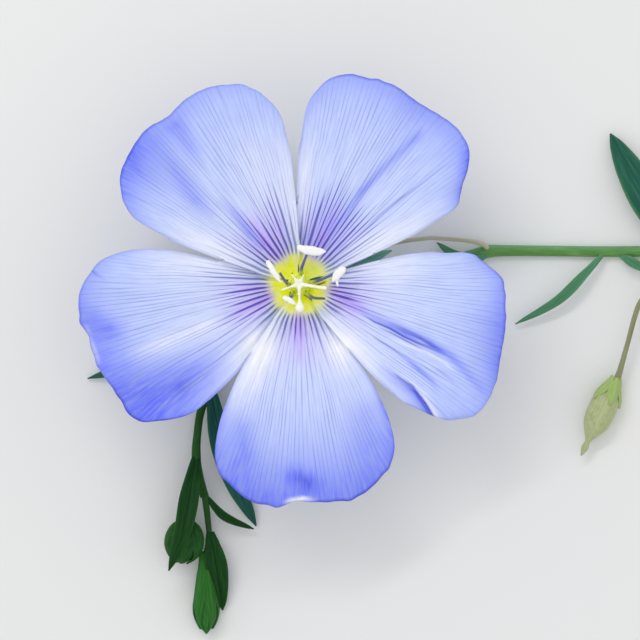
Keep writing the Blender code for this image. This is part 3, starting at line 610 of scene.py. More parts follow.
# Soft strokes of colour along lines, most of them painted shade or painted light: the kind, the widths on
# the left and the right of the line, and the line's points with the strength at each
STROKES = {
    "petal_1": (
        (PAINTED_SHADE, 0.7, 0.7, ((-9.9, 9.6, 0.25), (-8.6, 7.9, 0.45), (-7.2, 5.9, 0.45), (-5.8, 4.4, 0.0))),
        (PAINTED_SHADE, 0.6, 0.6, ((-8.6, 11.0, 0.5), (-7.6, 9.6, 0.35), (-6.6, 8.0, 0.0))),
        (PAINTED_SHADE, 0.35, 0.35, ((-2.7, 2.7, 0.3), (-3.5, 3.6, 0.6), (-4.3, 4.7, 0.5), (-5.6, 6.2, 0.0))),
        (PAINTED_LIGHT, 1.3, 1.3, ((-4.4, 11.5, 0.0), (-3.3, 9.0, 0.25), (-2.2, 6.2, 0.2), (-1.3, 4.4, 0.0))),
        (PAINTED_LIGHT, 0.9, 0.9, ((-9.4, 4.6, 0.0), (-6.6, 2.9, 0.4), (-4.6, 2.0, 0.35), (-3.2, 1.3, 0.0))),
        (FLUSH, 0.4, 0.55, ((-1.5, 1.9, 0.8), (-2.4, 3.0, 1.0), (-3.1, 4.2, 0.5), (-3.8, 5.4, 0.0))),
        (FLUSH, 0.4, 0.4, ((-0.9, 2.4, 0.2), (-1.3, 3.6, 0.5), (-1.7, 5.0, 0.3), (-2.1, 6.5, 0.0))),
        (CLAW_GAP_SHADOW, 0.05, 0.05, ((-0.46, 0.62, 0.8), (-0.52, 0.82, 0.8))),
        (CLAW_GAP_SHADOW, 0.04, 0.04, ((-0.74, 0.33, 0.8), (-0.98, 0.34, 0.8))),
    ),
    "petal_2": (
        (PAINTED_SHADE, 0.32, 0.32, ((2.5, 3.5, 0.0), (4.4, 6.5, 0.6), (6.1, 8.3, 0.45), (8.2, 10.3, 0.45),
                            (8.8, 10.9, 0))),
        (CREASE_SHADE, 0.08, 0.12, ((3.6, 2.9, 0.0), (5.5, 4.7, 0.35), (7.1, 6.0, 0.5), (10.1, 8.2, 0.0))),
        (PAINTED_SHADE, 1.6, 1.6, ((1.5, 2.0, 0.2), (2.4, 4.6, 0.35), (2.8, 7.5, 0.0))),
        (PAINTED_LIGHT, 0.9, 0.7, ((3.2, 1.7, 0.2), (5.4, 2.7, 0.5), (8.4, 4.3, 0.3), (10.6, 5.6, 0.0))),
        (PAINTED_LIGHT, 0.5, 0.5, ((0.35, 4.4, 0.2), (0.4, 8.0, 0.3), (1.0, 11.0, 0.0))),
        (FLUSH, 0.4, 0.4, ((1.1, 2.1, 0.8), (1.6, 3.1, 1.0), (2.1, 4.2, 0.6), (2.9, 5.8, 0.0))),
        (FLUSH, 0.4, 0.4, ((0.35, 2.6, 0.4), (0.7, 4.0, 0.5), (0.9, 5.5, 0.0))),
    ),
    "petal_3": (
        (CREASE_SHADE, 0.08, 0.08, ((4.4, -2.1, 0.0), (5.3, -2.65, 0.8), (6.4, -3.1, 0.95), (7.3, -3.65, 1.0),
                            (8.4, -4.18, 0.8), (9.4, -4.6, 0.3), (10.2, -5.1, 0.0))),
        (CREASE_SHADE, 0.06, 0.06, ((5.3, -2.9, 0.0), (6.45, -3.42, 0.7), (7.5, -3.97, 0.8), (8.4, -4.45, 0.4),
                            (9.2, -4.9, 0.0))),
        (CREASE_SHADE, 0.16, 0.1, ((6.2, -2.7, 0.0), (7.4, -3.25, 0.45), (8.5, -3.8, 0.6), (9.4, -4.35, 0.55),
                           (10.4, -5.0, 0.0))),
        (PAINTED_SHADE, 0.42, 0.22, ((3.6, -1.5, 0.2), (5.3, -2.4, 0.45), (7.3, -3.4, 0.8), (9.0, -4.2, 0.9),
                            (10.4, -5.0, 0.65), (11.2, -5.7, 0.5), (12.6, -7.3, 0.3), (13.2, -8.0, 0.0))),
        (PAINTED_LIGHT, 0.05, 0.05, ((7.6, -3.55, 0.0), (8.5, -3.98, 0.5), (9.3, -4.4, 0.0))),
        (PAINTED_LIGHT, 0.06, 0.1, ((6.3, -3.65, 0.0), (7.5, -4.25, 0.5), (8.9, -4.75, 0.6), (10.3, -5.55, 0.6),
                            (11.2, -6.4, 0.0))),
        (CREASE_SHADE, 0.07, 0.07, ((5.3, -3.8, 0.2), (6.05, -4.22, 0.5), (6.75, -4.68, 0.5), (7.6, -5.3, 0.0))),
        (PAINTED_SHADE, 0.2, 0.2, ((6.6, -4.6, 0.0), (7.5, -5.2, 0.4), (8.4, -6.0, 0.75), (9.3, -6.8, 0.5),
                          (10.0, -7.5, 0.0))),
        (CREASE_SHADE, 0.06, 0.06, ((9.1, -5.7, 0.0), (9.95, -6.2, 0.4), (10.7, -6.75, 0.3), (11.2, -7.2, 0.0))),
        (CREASE_SHADE, 0.06, 0.09, ((6.6, -6.2, 0.0), (7.05, -6.55, 0.5), (7.95, -7.15, 0.85), (8.37, -7.67, 0.95),
                            (8.9, -8.34, 1.0), (9.23, -8.87, 1.0), (9.55, -9.6, 1.0))),
        (CREASE_SHADE, 0.07, 0.07, ((7.5, -7.0, 0.0), (8.12, -7.57, 0.6), (8.41, -8.0, 0.75), (9.0, -8.85, 0.7),
                            (9.3, -9.5, 0.4))),
        (PAINTED_SHADE, 0.05, 0.6, ((5.6, -5.4, 0.0), (7.0, -6.5, 0.6), (8.3, -7.6, 0.75), (8.9, -8.4, 0.85),
                           (9.6, -9.7, 0.9))),
        (PAINTED_LIGHT, 0.25, 0.03, ((7.0, -6.3, 0.0), (7.9, -6.95, 0.3), (8.7, -7.85, 0.5), (9.6, -9.4, 0.6))),
        (PAINTED_LIGHT, 0.95, 0.95, ((2.4, -3.0, 0.3), (3.3, -4.2, 1.0), (4.4, -5.2, 0.4), (5.6, -6.2, 0.0))),
        (PAINTED_LIGHT, 1.2, 1.2, ((4.5, 0.6, 0.2), (7.0, 0.6, 0.25), (9.5, 0.4, 0.0))),
        (FLUSH, 0.55, 0.6, ((2.3, -0.5, 0.7), (3.2, -1.0, 1.0), (4.0, -1.5, 0.9), (5.0, -2.0, 0.0))),
        (CLAW_GAP_SHADOW, 0.08, 0.08, ((1.13, -0.15, 0.9), (1.4, -0.03, 1.0), (1.85, 0.14, 0.8))),
        (CLAW_GAP_SHADOW, 0.05, 0.05, ((0.7, -0.98, 0.9), (0.95, -1.17, 0.9))),
    ),
    "petal_4": (
        (PAINTED_SHADE, 0.75, 0.75, ((-0.3, -13.5, 0.75), (0.5, -13.9, 1.0), (1.1, -14.2, 0.6))),
        (CREASE_SHADE, 0.4, 0.4, ((0.1, -13.6, 0.25), (0.8, -14.0, 0.3))),
        (PAINTED_LIGHT, 0.16, 0.16, ((-1.2, -15.35, 0.0), (-0.6, -15.15, 0.9), (0.3, -15.0, 1.0),
                             (1.1, -15.15, 0.3))),
        (PAINTED_SHADE, 0.9, 0.9, ((-4.9, -8.6, 0.0), (-4.1, -10.2, 0.4), (-3.9, -12.0, 0.4))),
        (PAINTED_SHADE, 1.3, 1.3, ((3.9, -7.5, 0.0), (4.6, -9.0, 0.3), (4.9, -11.0, 0.35))),
        (PAINTED_LIGHT, 0.95, 0.8, ((-1.9, -3.3, 0.3), (-2.5, -4.7, 1.0), (-3.0, -6.2, 0.6), (-3.9, -8.4, 0.0))),
        (PAINTED_LIGHT, 0.8, 0.95, ((2.1, -3.0, 0.3), (2.8, -4.5, 1.0), (3.2, -5.8, 0.4), (3.4, -7.0, 0.0))),
        (FLUSH, 0.5, 0.5, ((0.0, -2.4, 0.8), (0.03, -3.3, 1.0), (0.05, -4.3, 0.6), (0.05, -5.8, 0.0))),
        (CLAW_GAP_SHADOW, 0.05, 0.05, ((0.33, -0.76, 0.8), (0.6, -0.9, 0.9), (0.95, -1.17, 0.9))),
    ),
    "petal_5": (
        (PAINTED_SHADE, 0.9, 0.9, ((-14.4, -2.6, 0.5), (-13.2, -3.3, 0.6), (-11.8, -3.6, 0.0))),
        (PAINTED_SHADE, 1.4, 1.4, ((-10.4, -7.9, 0.7), (-8.4, -7.1, 0.8), (-6.6, -6.2, 0.55), (-4.9, -5.0, 0.0))),
        (CREASE_SHADE, 0.5, 0.5, ((-9.0, -7.7, 0.0), (-8.2, -7.2, 0.22), (-7.2, -6.7, 0.0))),
        (PAINTED_LIGHT, 0.6, 0.6, ((-12.2, -5.2, 0.0), (-9.6, -4.2, 0.45), (-6.6, -3.1, 0.4), (-5.0, -2.4, 0.0))),
        (PAINTED_LIGHT, 0.18, 0.18, ((-14.9, -3.0, 0.2), (-14.6, -4.0, 0.45), (-14.1, -5.2, 0.3),
                             (-13.9, -5.8, 0.0))),
        (CREASE_SHADE, 0.1, 0.1, ((-14.6, 1.0, 0.7), (-14.1, 0.6, 0.3), (-13.5, 0.3, 0.0))),
        (PAINTED_LIGHT, 1.5, 1.5, ((-12.0, 1.4, 0.0), (-9.5, 1.2, 0.15), (-6.5, 0.9, 0.15), (-4.0, 0.5, 0.0))),
        (PAINTED_LIGHT, 0.6, 0.6, ((-2.4, -2.9, 0.1), (-3.2, -4.0, 1.0), (-3.9, -4.9, 0.4), (-4.6, -5.8, 0.0))),
        (FLUSH, 0.4, 0.45, ((-2.1, -0.9, 1.0), (-3.0, -1.4, 1.0), (-4.1, -1.9, 0.6), (-5.4, -2.4, 0.0))),
        (FLUSH, 0.25, 0.25, ((-2.2, -0.25, 0.6), (-3.4, -0.3, 0.6), (-4.8, -0.3, 0.0))),
        (CLAW_GAP_SHADOW, 0.07, 0.07, ((-0.64, -0.56, 0.8), (-0.69, -0.84, 0.9))),
    ),
}
# Steps in the blade: the points of a line with the height of the step at each, up to the line's left
STEPS = {
    "petal_1": ((0.6, ((-9.9, 9.6, 0.0), (-8.6, 7.9, 0.1), (-7.2, 5.9, 0.1), (-5.8, 4.4, 0.0))),),
    "petal_2": ((0.45, ((2.5, 3.5, 0.0), (4.4, 6.5, 0.1), (8.2, 10.3, 0.1), (8.8, 10.9, 0.0))),),
    "petal_3": (
        (0.2, ((4.3, -2.1, 0.0), (6.4, -3.15, 0.14), (9.0, -4.45, 0.14), (11.0, -5.8, 0.0))),
        (0.1, ((6.4, -6.1, 0.0), (7.4, -6.85, 0.15), (8.37, -7.72, 0.3), (9.0, -8.5, 0.35),
               (9.55, -9.6, 0.4), (9.9, -10.5, 0.4))),
    ),
}
STEP_REACH = 5.0  # a step's height dies away over this many times its width


def ease(x, start, end):
    """Runs smoothly from 0 where x is at the start to 1 where it is at the end."""
    t = np.clip((x - start) / (end - start), 0, 1)
    return t * t * (3 - 2 * t)


def beside(x, y, points):
    """How far each place lies to the left of the line through the points, and the line's value there."""
    nearest = np.full_like(x, 1e9)
    off, value = np.zeros_like(x), np.zeros_like(x)
    for (x0, y0, v0), (x1, y1, v1) in zip(points, points[1:]):
        dx, dy = x1 - x0, y1 - y0
        t = np.clip(((x - x0) * dx + (y - y0) * dy) / (dx * dx + dy * dy), 0, 1)
        apart = np.hypot(x - x0 - t * dx, y - y0 - t * dy)
        left = np.where((y - y0) * dx > (x - x0) * dy, 1, -1)
        nearer = apart < nearest
        off = np.where(nearer, apart * left, off)
        value = np.where(nearer, v0 + t * (v1 - v0), value)
        nearest = np.minimum(nearest, apart)
    return off, value


def petal_silk(name):
    """Petal skin: fine domed cells over soft tissue, so light spreads in it and the face looks velvety.
    Veins run from the claw, deep violet at first and pale towards the rim, with finer ones between."""
    material, tree, shader = surface(
        name, Roughness=0.6, IOR=1.36, Specular_IOR_Level=0.3, Subsurface_Weight=0.15,
        Subsurface_Radius=(0.6, 0.7, 1.0), Subsurface_Scale=0.12 * MM,
    )
    parts = []
    for key in ("petal", "paint", "trait"):
        values = add(tree, "Attribute", {}, out=1, attribute_name=key)
        parts += [add(tree, "SeparateXYZ", {"Vector": values}, out=i) for i in range(3)]
    # deep, white and dark carry the painted shade, the painted light and the painted shade of the creases
    share, radius, rim, deep, white, dark, seed, flush, dark_reach = parts
    face = add(tree, "Attribute", {}, out=2, attribute_name="face")
    lines = add(tree, "Attribute", {}, out=1, attribute_name="lines")
    rim_shade_strength, claw_gap_shadow = [add(tree, "SeparateXYZ", {"Vector": lines}, out=i) for i in range(2)]
    middle = add(tree, "Math", (share,), operation="ABSOLUTE")
    # The heart is yellow in uneven patches 0.4 mm across, and its edge wanders with them
    spot = add(tree, "TexCoord", {}, out=3)
    patches = add(tree, "TexNoise", {"Vector": spot, "Scale": 1 / (0.4 * MM), "Detail": 2.0})
    wandering = add(tree, "Math", (patches, 0.9, radius), **TIMES_PLUS)
    flower_r = add(tree, "Math", (wandering, GROUND_END), operation="DIVIDE")
    colour = add(
        tree, "ValToRGB", {"Fac": flower_r},
        stops=[
            (0.0, "#ffff44"), (0.125, "#ffff40"), (0.15, "#ffff66"), (0.18, "#eaf6d6"), (0.21, "#dbe5f9"),
            (0.33, "#d6defe"), (0.58, "#cdd9ff"), (0.78, "#c2d0ff"), (1.0, "#b2c1fe"),
        ],
    )
    for low, high, most, outer, inner, over in HEART_PATCHES:
        blotch = add(tree, "MapRange", (patches, low, high, 0.0, most))
        inside = add(tree, "MapRange", (radius, outer, inner))
        factor = add(tree, "Math", (blotch, inside), **TIMES)
        colour = add(tree, "Mix", {FACTOR: factor, FIRST: colour, SECOND: srgb(over)}, **COLOURS)
    # Three noises drawn out along the petal: fine streaks 0.1 mm apart, a slow drift, and uneven veins
    wander = add(tree, "CombineXYZ", {"X": share, "Y": radius, "Z": seed})
    noises = []
    for crosswise, lengthwise, detail in ((46.0, 0.7, 3.0), (5.0, 0.05, 1.0), (13.0, 0.25, 1.0)):
        drawn_out = add(tree, "Mapping", {"Vector": wander, "Scale": (crosswise, lengthwise, 1.0)})
        noises.append(add(tree, "TexNoise", {"Vector": drawn_out, "Scale": 1.0, "Detail": detail}))
    streaks, drift, uneven = noises
    # Violet flush, then painted shade in deeper blue, stronger in the streaks, then painted light in white:
    # highlights and light shining through
    flush = add(tree, "Math", (flush, 0.85), **TIMES)
    streaky = add(tree, "MapRange", (streaks, 0.3, 0.7, 0.62, 1.2))
    streaked = add(tree, "Math", (deep, streaky), use_clamp=True, **TIMES)
    for factor, over in ((flush, "#ccaeff"), (streaked, "#6472f4"), (white, "#fdfdff")):
        colour = add(tree, "Mix", {FACTOR: factor, FIRST: colour, SECOND: srgb(over)}, **COLOURS)
    # Veins: the share across the petal is folded to the distance from the nearest vein of a set. The
    # main veins run from the claw, and finer sets start between them at radii that differ.
    moved = add(tree, "MapRange", (drift, 0.0, 1.0, -0.06, 0.06))
    across = add(tree, "Math", (share, moved), **PLUS)
    half_width = add(tree, "Math", (radius, VEIN_ANGLE), **TIMES)
    breadth = add(tree, "MapRange", (radius, 3.0, 8.5, 0.092, 0.055))
    crowded = add(tree, "Math", (radius, 0.03), **TIMES)
    breadth = add(tree, "Math", (breadth, crowded), operation="MINIMUM")
    line = 0.0
    for between, half_gap, opens, takes, salt in VEIN_SETS:
        beside_main = add(tree, "Math", (across, between), **PLUS)
        off = add(tree, "Math", (beside_main, half_gap), operation="PINGPONG")
        distance = add(tree, "Math", (off, half_width), **TIMES)
        own_place = {"Vector": wander, "Scale": (7.0, 0.0, 1.0), "Location": (salt, 0, salt)}
        jitter = add(tree, "Mapping", own_place)
        jitter = add(tree, "TexNoise", {"Vector": jitter, "Scale": 1.0, "Detail": 0.0})
        late = add(tree, "Math", (jitter, -2.0 * takes, takes), **TIMES_PLUS)
        shifted = add(tree, "Math", (radius, late), **PLUS)
        width = add(tree, "MapRange", (shifted, opens, opens + takes, 0.03))
        width = add(tree, "Math", (width, breadth), **TIMES)
        near = add(tree, "Math", (distance, width), operation="DIVIDE")
        one_set = add(tree, "MapRange", (near, 1.0, 0.2), **SOFTLY)
        line = add(tree, "Math", (line, one_set), operation="MAXIMUM")
    # A vein is dark up to its own reach, and a fine blue line from there to the rim
    own_reach = add(tree, "Math", (uneven, 6.0, dark_reach), **TIMES_PLUS)
    beyond = add(tree, "Math", (radius, own_reach), operation="SUBTRACT")
    still_dark = add(tree, "MapRange", (beyond, -3.0, -7.0), **SOFTLY)
    fine = add(tree, "MapRange", (uneven, 0.35, 0.62, 0.14, 0.65))
    fading = add(tree, "MapRange", (rim, 0.0, 2.0, 0.5, 1.0))
    fine = add(tree, "Math", (fine, fading), **TIMES)
    strength = add(tree, "Math", (still_dark, fine), operation="MAXIMUM")
    begins = add(tree, "MapRange", (radius, 2.0, 2.55), **SOFTLY)
    at_side = add(tree, "MapRange", (middle, 0.72, 0.95, 0.92, 0.15))
    rooted = add(tree, "MapRange", (radius, 6.8, 4.0, 0.0, 0.85), **SOFTLY)
    at_side = add(tree, "Math", (at_side, rooted), operation="MAXIMUM")
    # Veins fade under the painted light
    covered = add(tree, "Math", (white, -0.6, 1.0), **TIMES_PLUS)
    for factor in (begins, at_side, covered, line):
        strength = add(tree, "Math", (strength, factor), **TIMES)
    sideways = add(tree, "MapRange", (middle, 0.35, 0.7), **SOFTLY)
    root = add(tree, "Mix", {FACTOR: sideways, FIRST: srgb("#4a36b2"), SECOND: srgb("#656fbc")}, **COLOURS)
    vein = add(tree, "Mix", {FACTOR: still_dark, FIRST: srgb("#8490dc"), SECOND: root}, **COLOURS)
    # Veins turn deeper blue under the painted shade
    shaded = add(tree, "Math", (deep, 0.7), **TIMES)
    vein = add(tree, "Mix", {FACTOR: shaded, FIRST: vein, SECOND: srgb("#5560dc")}, **COLOURS)
    colour = add(tree, "Mix", {FACTOR: strength, FIRST: colour, SECOND: vein}, **COLOURS)
    # The same streaks over it all, then the painted shade of the rim's dark line and of the creases
    grey = add(tree, "MapRange", (streaks, 0.3, 0.7, 0.9, 1.05))
    colour = add(tree, "Mix", {FACTOR: 1.0, FIRST: colour, SECOND: grey}, blend_type="MULTIPLY", **COLOURS)
    edge = add(tree, "MapRange", (rim, 0.26, 0.06, 0.0, 0.75))
    edge = add(tree, "Math", (edge, rim_shade_strength), **TIMES)
    edge = add(tree, "Math", (edge, dark), operation="MAXIMUM")
    # The underside is paler
    back = add(tree, "MapRange", (face, 1.0, 0.0, 0.0, 0.35))
    # The olive mix on the claws is painted shadow of the gaps between them
    for factor, over in ((edge, "#3a44c8"), (claw_gap_shadow, "#4c5416"), (back, "#d5dcf6")):
        colour = add(tree, "Mix", {FACTOR: factor, FIRST: colour, SECOND: srgb(over)}, **COLOURS)
    tree.links.new(colour, shader.inputs["Base Color"])
    # Cells are 0.03 mm across, drawn here at 0.09 mm so that they show
    cells = add(tree, "TexVoronoi", {"Vector": spot, "Scale": 1 / (0.09 * MM)})
    relief = add(tree, "Math", (strength, -0.8, streaks), **TIMES_PLUS)
    relief = add(tree, "Math", (cells, -0.12, relief), **TIMES_PLUS)
    grown = add(tree, "MapRange", (radius, 2.0, 9.0, 0.05))
    relief = add(tree, "Math", (relief, grown), **TIMES)
    bump = add(tree, "Bump", {"Height": relief, "Strength": 0.25, "Distance": 0.02 * MM})
    tree.links.new(bump, shader.inputs["Normal"])
    return material


def petal(name, direction, sides, rim_radii, material):
    """One petal: a claw, a funnel above it that flattens out to a waved rim, with its pleats and creases."""
    steps = len(rim_radii) - 1
    offsets = [(2 * i / steps - 1) * RIM_ANGLE for i in range(steps + 1)]
    shares = [offset / sides[0 if offset < 0 else 1][2] for offset in offsets]
    rim = (
        (-1.0, sides[0][3]), (-SHOULDER, sides[0][4]), *zip(shares, rim_radii), (SHOULDER, sides[1][4]),
        (1.0, sides[1][3]),
    )
    sweep = EDGE_CROWDING * math.pi / 2
    share = (np.sin(np.linspace(1, -1, PETAL_COLUMNS + 1) * sweep) / math.sin(sweep))[None, :]
    row = np.linspace(0, 1, PETAL_ROWS + 1)[:, None]
    seed = float(name[-1])
    first, second = [number * share for number in RIPPLE_WAVES]
    rim_radius = along(rim, share) + RIPPLE * np.sin(first + 5 * seed) * np.cos(second + seed)
    degrees = share * np.where(share < 0, sides[0][2], sides[1][2])
    for at, half_width, height in RIM_BUMPS[name]:
        rim_radius = rim_radius + height * np.exp(-(((degrees - at) / half_width) ** 2))
    radius = CLAW_R + (rim_radius - CLAW_R) * row**PETAL_CROWDING
    over, wider, corner = [np.where(share < 0, sides[0][k], sides[1][k]) for k in range(3)]
    spread = along(PETAL_SPREAD, radius) * corner / SIDE_ANGLE + wider * along(WIDER_BY_RADIUS, radius)
    angle = np.radians(direction + share * spread)
    height = along(PETAL_HEIGHT, radius)
    slope = (along(PETAL_HEIGHT, radius + SLOPE_STEP) - height) / SLOPE_STEP
    bend = ease(np.abs(share), *LIFT_ACROSS)
    lift = EDGE_LIFT * over * bend * along(LIFT_BY_RADIUS, radius)
    wave = RIM_WAVE * np.sin(math.pi * WAVES_ACROSS * share) * row**WAVE_DEPTH
    pleat = PLEAT * np.cos(math.pi * MAIN_VEINS * share)
    pleat = pleat * ease(radius, *PLEATS_RISE) * ease(radius, *PLEATS_FADE)
    side_edge = (1 - np.abs(share)) * np.radians(spread) * radius
    rim_distance = np.minimum(rim_radius - radius, side_edge + FAR * ease(radius, *NO_RIM))
    curl = -RIM_CURL * ease(rim_distance, RIM_CURL_WIDTH, 0) ** 2
    x, y = radius * np.cos(angle), radius * np.sin(angle)
    for width, points in STEPS.get(name, ()):
        off, tall = beside(x, y, points)
        curl = curl + tall / 2 * np.tanh(off / width) * np.exp(-((off / (STEP_REACH * width)) ** 2))
    lean = 1 / np.sqrt(1 + slope**2)
    out = radius - lift * slope * lean
    z = CLAW_Z + height + lift * lean + wave + pleat + curl
    grid = np.stack([out * np.cos(angle), out * np.sin(angle), z], 2)
    # Painted shade in deeper blue along the rim, where the blade turns away from the light
    at, strengths, depths = np.array(RIM_SHADE[name]).T
    inward = (rim_radius - radius) / np.interp(share, at, depths)
    # One row each of painted shade, painted light, painted crease shade, violet flush and painted shadow in
    # the claw gaps
    paint = np.zeros((5, *radius.shape))
    paint[PAINTED_SHADE] = np.interp(share, at, strengths) * np.exp(-(inward**1.5))
    # Painted light along the side edges
    pale = np.where(share < 0, *SIDE_PAINTED_LIGHT[name])
    paint[PAINTED_LIGHT] = pale * ease(np.abs(share), *PAINTED_LIGHT_ACROSS) * ease(radius, *PAINTED_LIGHT_FADE)
    lilac = ease(np.abs(share), *LILAC_ACROSS) * ease(radius, *LILAC_RISE) * ease(radius, *LILAC_FADE)
    paint[FLUSH] = LILAC * lilac
    for kind, left, right, points in STROKES[name]:
        off, strength = beside(x, y, points)
        stroke = strength * np.exp(-((off / np.where(off > 0, left, right)) ** 2))
        paint[kind] = 1 - (1 - np.clip(paint[kind], 0, 1)) * (1 - stroke)
    places = together(share, radius, np.maximum(rim_distance, 0))
    reach = np.interp(share, *np.array(VEIN_REACH[name]).T)
    traits = together(seed * 7.3, paint[FLUSH], reach)
    lines = np.interp(share, *np.array(RIM_SHADE_LINE[name]).T)
    lines = together(lines, paint[CLAW_GAP_SHADOW], 0.0)
    thick = PETAL_THICK * (0.45 + 0.55 * ease(rim_distance, 0, 0.5)) * (1 + 0.8 * ease(radius, 3, 1))
    blade(
        name + "_blade", grid, thick, material, ("petal", name), petal=places,
        paint=np.moveaxis(paint[:3], 0, 2), trait=traits, lines=lines,
    )


petal_blue = petal_silk("petal_silk_blue")
for name, (direction, clockwise_side, anticlockwise_side, radii) in PETALS.items():
    petal(name, direction, (clockwise_side, anticlockwise_side), radii, petal_blue)

# The stamens
# Five thin filaments, grown together in a short yellow tube round the ovary's foot, blue above. Four
# carry a white anther, which has opened and shows its pollen, and the fifth has lost its anther.
RING = ((0.3, 0.84), (0.6, 0.82), (0.85, 0.78), (0.98, 0.7))  # height, radius
# Foot, knee and tip of each filament: x, y and the height above the claws
FILAMENTS = (
    ((0.1, 0.72, 0.7), (0.22, 1.25, 2.6), (0.68, 2.35, 4.45)),
    ((-0.7, -0.02, 0.7), (-0.92, 0.12, 2.6), (-1.32, 0.74, 4.2)),
    ((0.72, 0.06, 0.7), (1.5, 0.3, 2.6), (2.7, 0.8, 4.15)),
    ((-0.4, -0.62, 0.7), (-0.6, -0.95, 2.6), (-0.85, -1.2, 4.2)),
    ((0.5, -0.58, 0.7), (1.0, -0.95, 2.6), (1.78, -1.02, 3.85)),
)
FILAMENT_R = (0.19, 0.11, 0.085)  # at the foot, the knee and the tip
# Each anther: middle, direction of its length, length, width, bend, how much thicker its far end is, and
# how much blunter (above 0) or more pointed that end is than the near one
ANTHERS = (
    ((0.89, 2.42, 4.62), -9, 2.07, 0.64, -0.1, 0.06, -0.3),
    ((-1.74, 0.86, 4.5), 122, 1.85, 0.38, 0.03, 0.2, 0.4),
    ((2.78, 0.68, 4.35), 48, 1.35, 0.6, 0.05, 0.08, 0.15),
    ((2.66, 0.12, 4.3), 100, 0.66, 0.19, 0.0, 0.2, 0.2),
    ((-0.66, -1.18, 4.4), -30, 1.1, 0.36, 0.04, -0.2, -0.25),
)
STAMENS = ("stamen", "stamens")


def filament_skin(name, middle, upper):
    """Smooth living thread: yellow at its foot, dull and darker above, with a moist soft shine."""
    material, tree, shader = surface(name, Roughness=0.4, IOR=1.4)
    place = add(tree, "Attribute", {}, out=1, attribute_name="place")
    run = add(tree, "SeparateXYZ", {"Vector": place}, out=2)
    blotch = add(tree, "TexNoise", {"Vector": place, "Scale": 3.0})
    run = add(tree, "Math", (run, blotch), **PLUS)
    share = add(tree, "MapRange", (run, 0.5, 4.5))
    colour = add(
        tree, "ValToRGB", {"Fac": share},
        stops=[(0.0, "#dcec30"), (0.2, "#d3de5a"), (0.45, middle), (1.0, upper)],
    )
    tree.links.new(colour, shader.inputs["Base Color"])
    return material


def fresh_yellow(name, dark, body, light, size):
    """Young tissue at the flower's heart: juicy and yellow-green, in small soft swellings."""
    material, tree, shader = surface(
        name, Roughness=0.45, IOR=1.4, Specular_IOR_Level=0.3, Subsurface_Weight=0.2,
        Subsurface_Radius=(0.5, 0.5, 0.3), Subsurface_Scale=0.2 * MM,
    )
    spot = add(tree, "TexCoord", {}, out=3)
    lumps = add(tree, "TexNoise", {"Vector": spot, "Scale": 1 / (size * MM), "Detail": 2.0})
    colour = add(tree, "ValToRGB", {"Fac": lumps}, stops=[(0.3, dark), (0.5, body), (0.7, light)])
    bump = add(tree, "Bump", {"Height": lumps, "Strength": 0.35, "Distance": 0.04 * MM})
    tree.links.new(colour, shader.inputs["Base Color"])
    tree.links.new(bump, shader.inputs["Normal"])
    return material


def anther(name, middle, direction, length, width, bend, swell, point, material):
    """An opened anther: two long lobes side by side with a furrow between them, drawn out at both ends."""
    s = np.linspace(-1, 1, 48)[:, None]
    turn = np.linspace(0, 2 * np.pi, 36, endpoint=False)[None, :]
    full = np.maximum(1 - np.abs(s) ** 2.2, 0) ** (0.6 - point * s) * (1 + swell * s)
    lobes = 1 - 0.2 * np.abs(np.sin(turn)) ** 5
    crumpled = 1 + 0.05 * np.sin(7 * s + 2 * np.cos(turn)) + 0.04 * np.sin(13 * s + 3 * np.sin(turn))
    wide = width / 2 * full * lobes * crumpled
    x = s * length / 2 + 0 * turn
    y = wide * np.cos(turn) + bend * (1 - s**2)
    z = wide * np.sin(turn) * 0.8
    angle = math.radians(direction)
    px = middle[0] + x * math.cos(angle) - y * math.sin(angle)
    py = middle[1] + x * math.sin(angle) + y * math.cos(angle)
    rings = np.stack([px, py, CLAW_Z + middle[2] + z], 2)
    points, faces = closed_rings(rings)
    piece(name, points, faces, material, STAMENS)


heart_yellow = fresh_yellow("stamen_tube_yellow", "#d8e828", "#eef64a", "#f8fc90", 0.3)
anther_white = fresh_yellow("anther_pollen_white", "#f2efe4", "#fbfaf4", "#ffffff", 0.08)
filament_blue = filament_skin("filament_blue", "#5a6096", "#6a70b8")
filament_grey = filament_skin("filament_grey", "#6c7488", "#5e6684")
ring_path = smooth_path([(0.0, 0.0, CLAW_Z + z, r) for z, r in RING], step=0.08)
tube("stamen_tube", ring_path, heart_yellow, STAMENS, 40)
for i, line in enumerate(FILAMENTS):
    path = smooth_path([(x, y, CLAW_Z + z, r) for (x, y, z), r in zip(line, FILAMENT_R)], step=0.12)
    tube(f"filament_{i + 1}", path, filament_grey if i in (1, 4) else filament_blue, STAMENS, 16)
for i, values in enumerate(ANTHERS):
    anther(f"anther_{i + 1}", *values, anther_white)

# The pistil
# A small yellow-green ovary and five cream styles on it, close together at the foot. They spread into a
# star over the throat, and each ends in a slightly thicker stigma.
OVARY = ((0.3, 0.6), (0.9, 0.66), (1.5, 0.6), (1.9, 0.4), (2.2, 0.2))  # height, radius
# Direction, reach and radius of each style, and the radius of its stigma
STYLES = (
    (62, 0.72, 0.05, 0.05), (127, 0.82, 0.05, 0.05), (199, 1.25, 0.065, 0.06), (272, 1.68, 0.085, 0.32),
    (351, 1.85, 0.11, 0.12),
)
COLUMN_R = 0.17  # from the axis, where the styles stand close together
STAR_R = 0.33  # where they have turned outwards
STYLE_TOP = 4.65
PISTIL = ("pistil", "pistil")

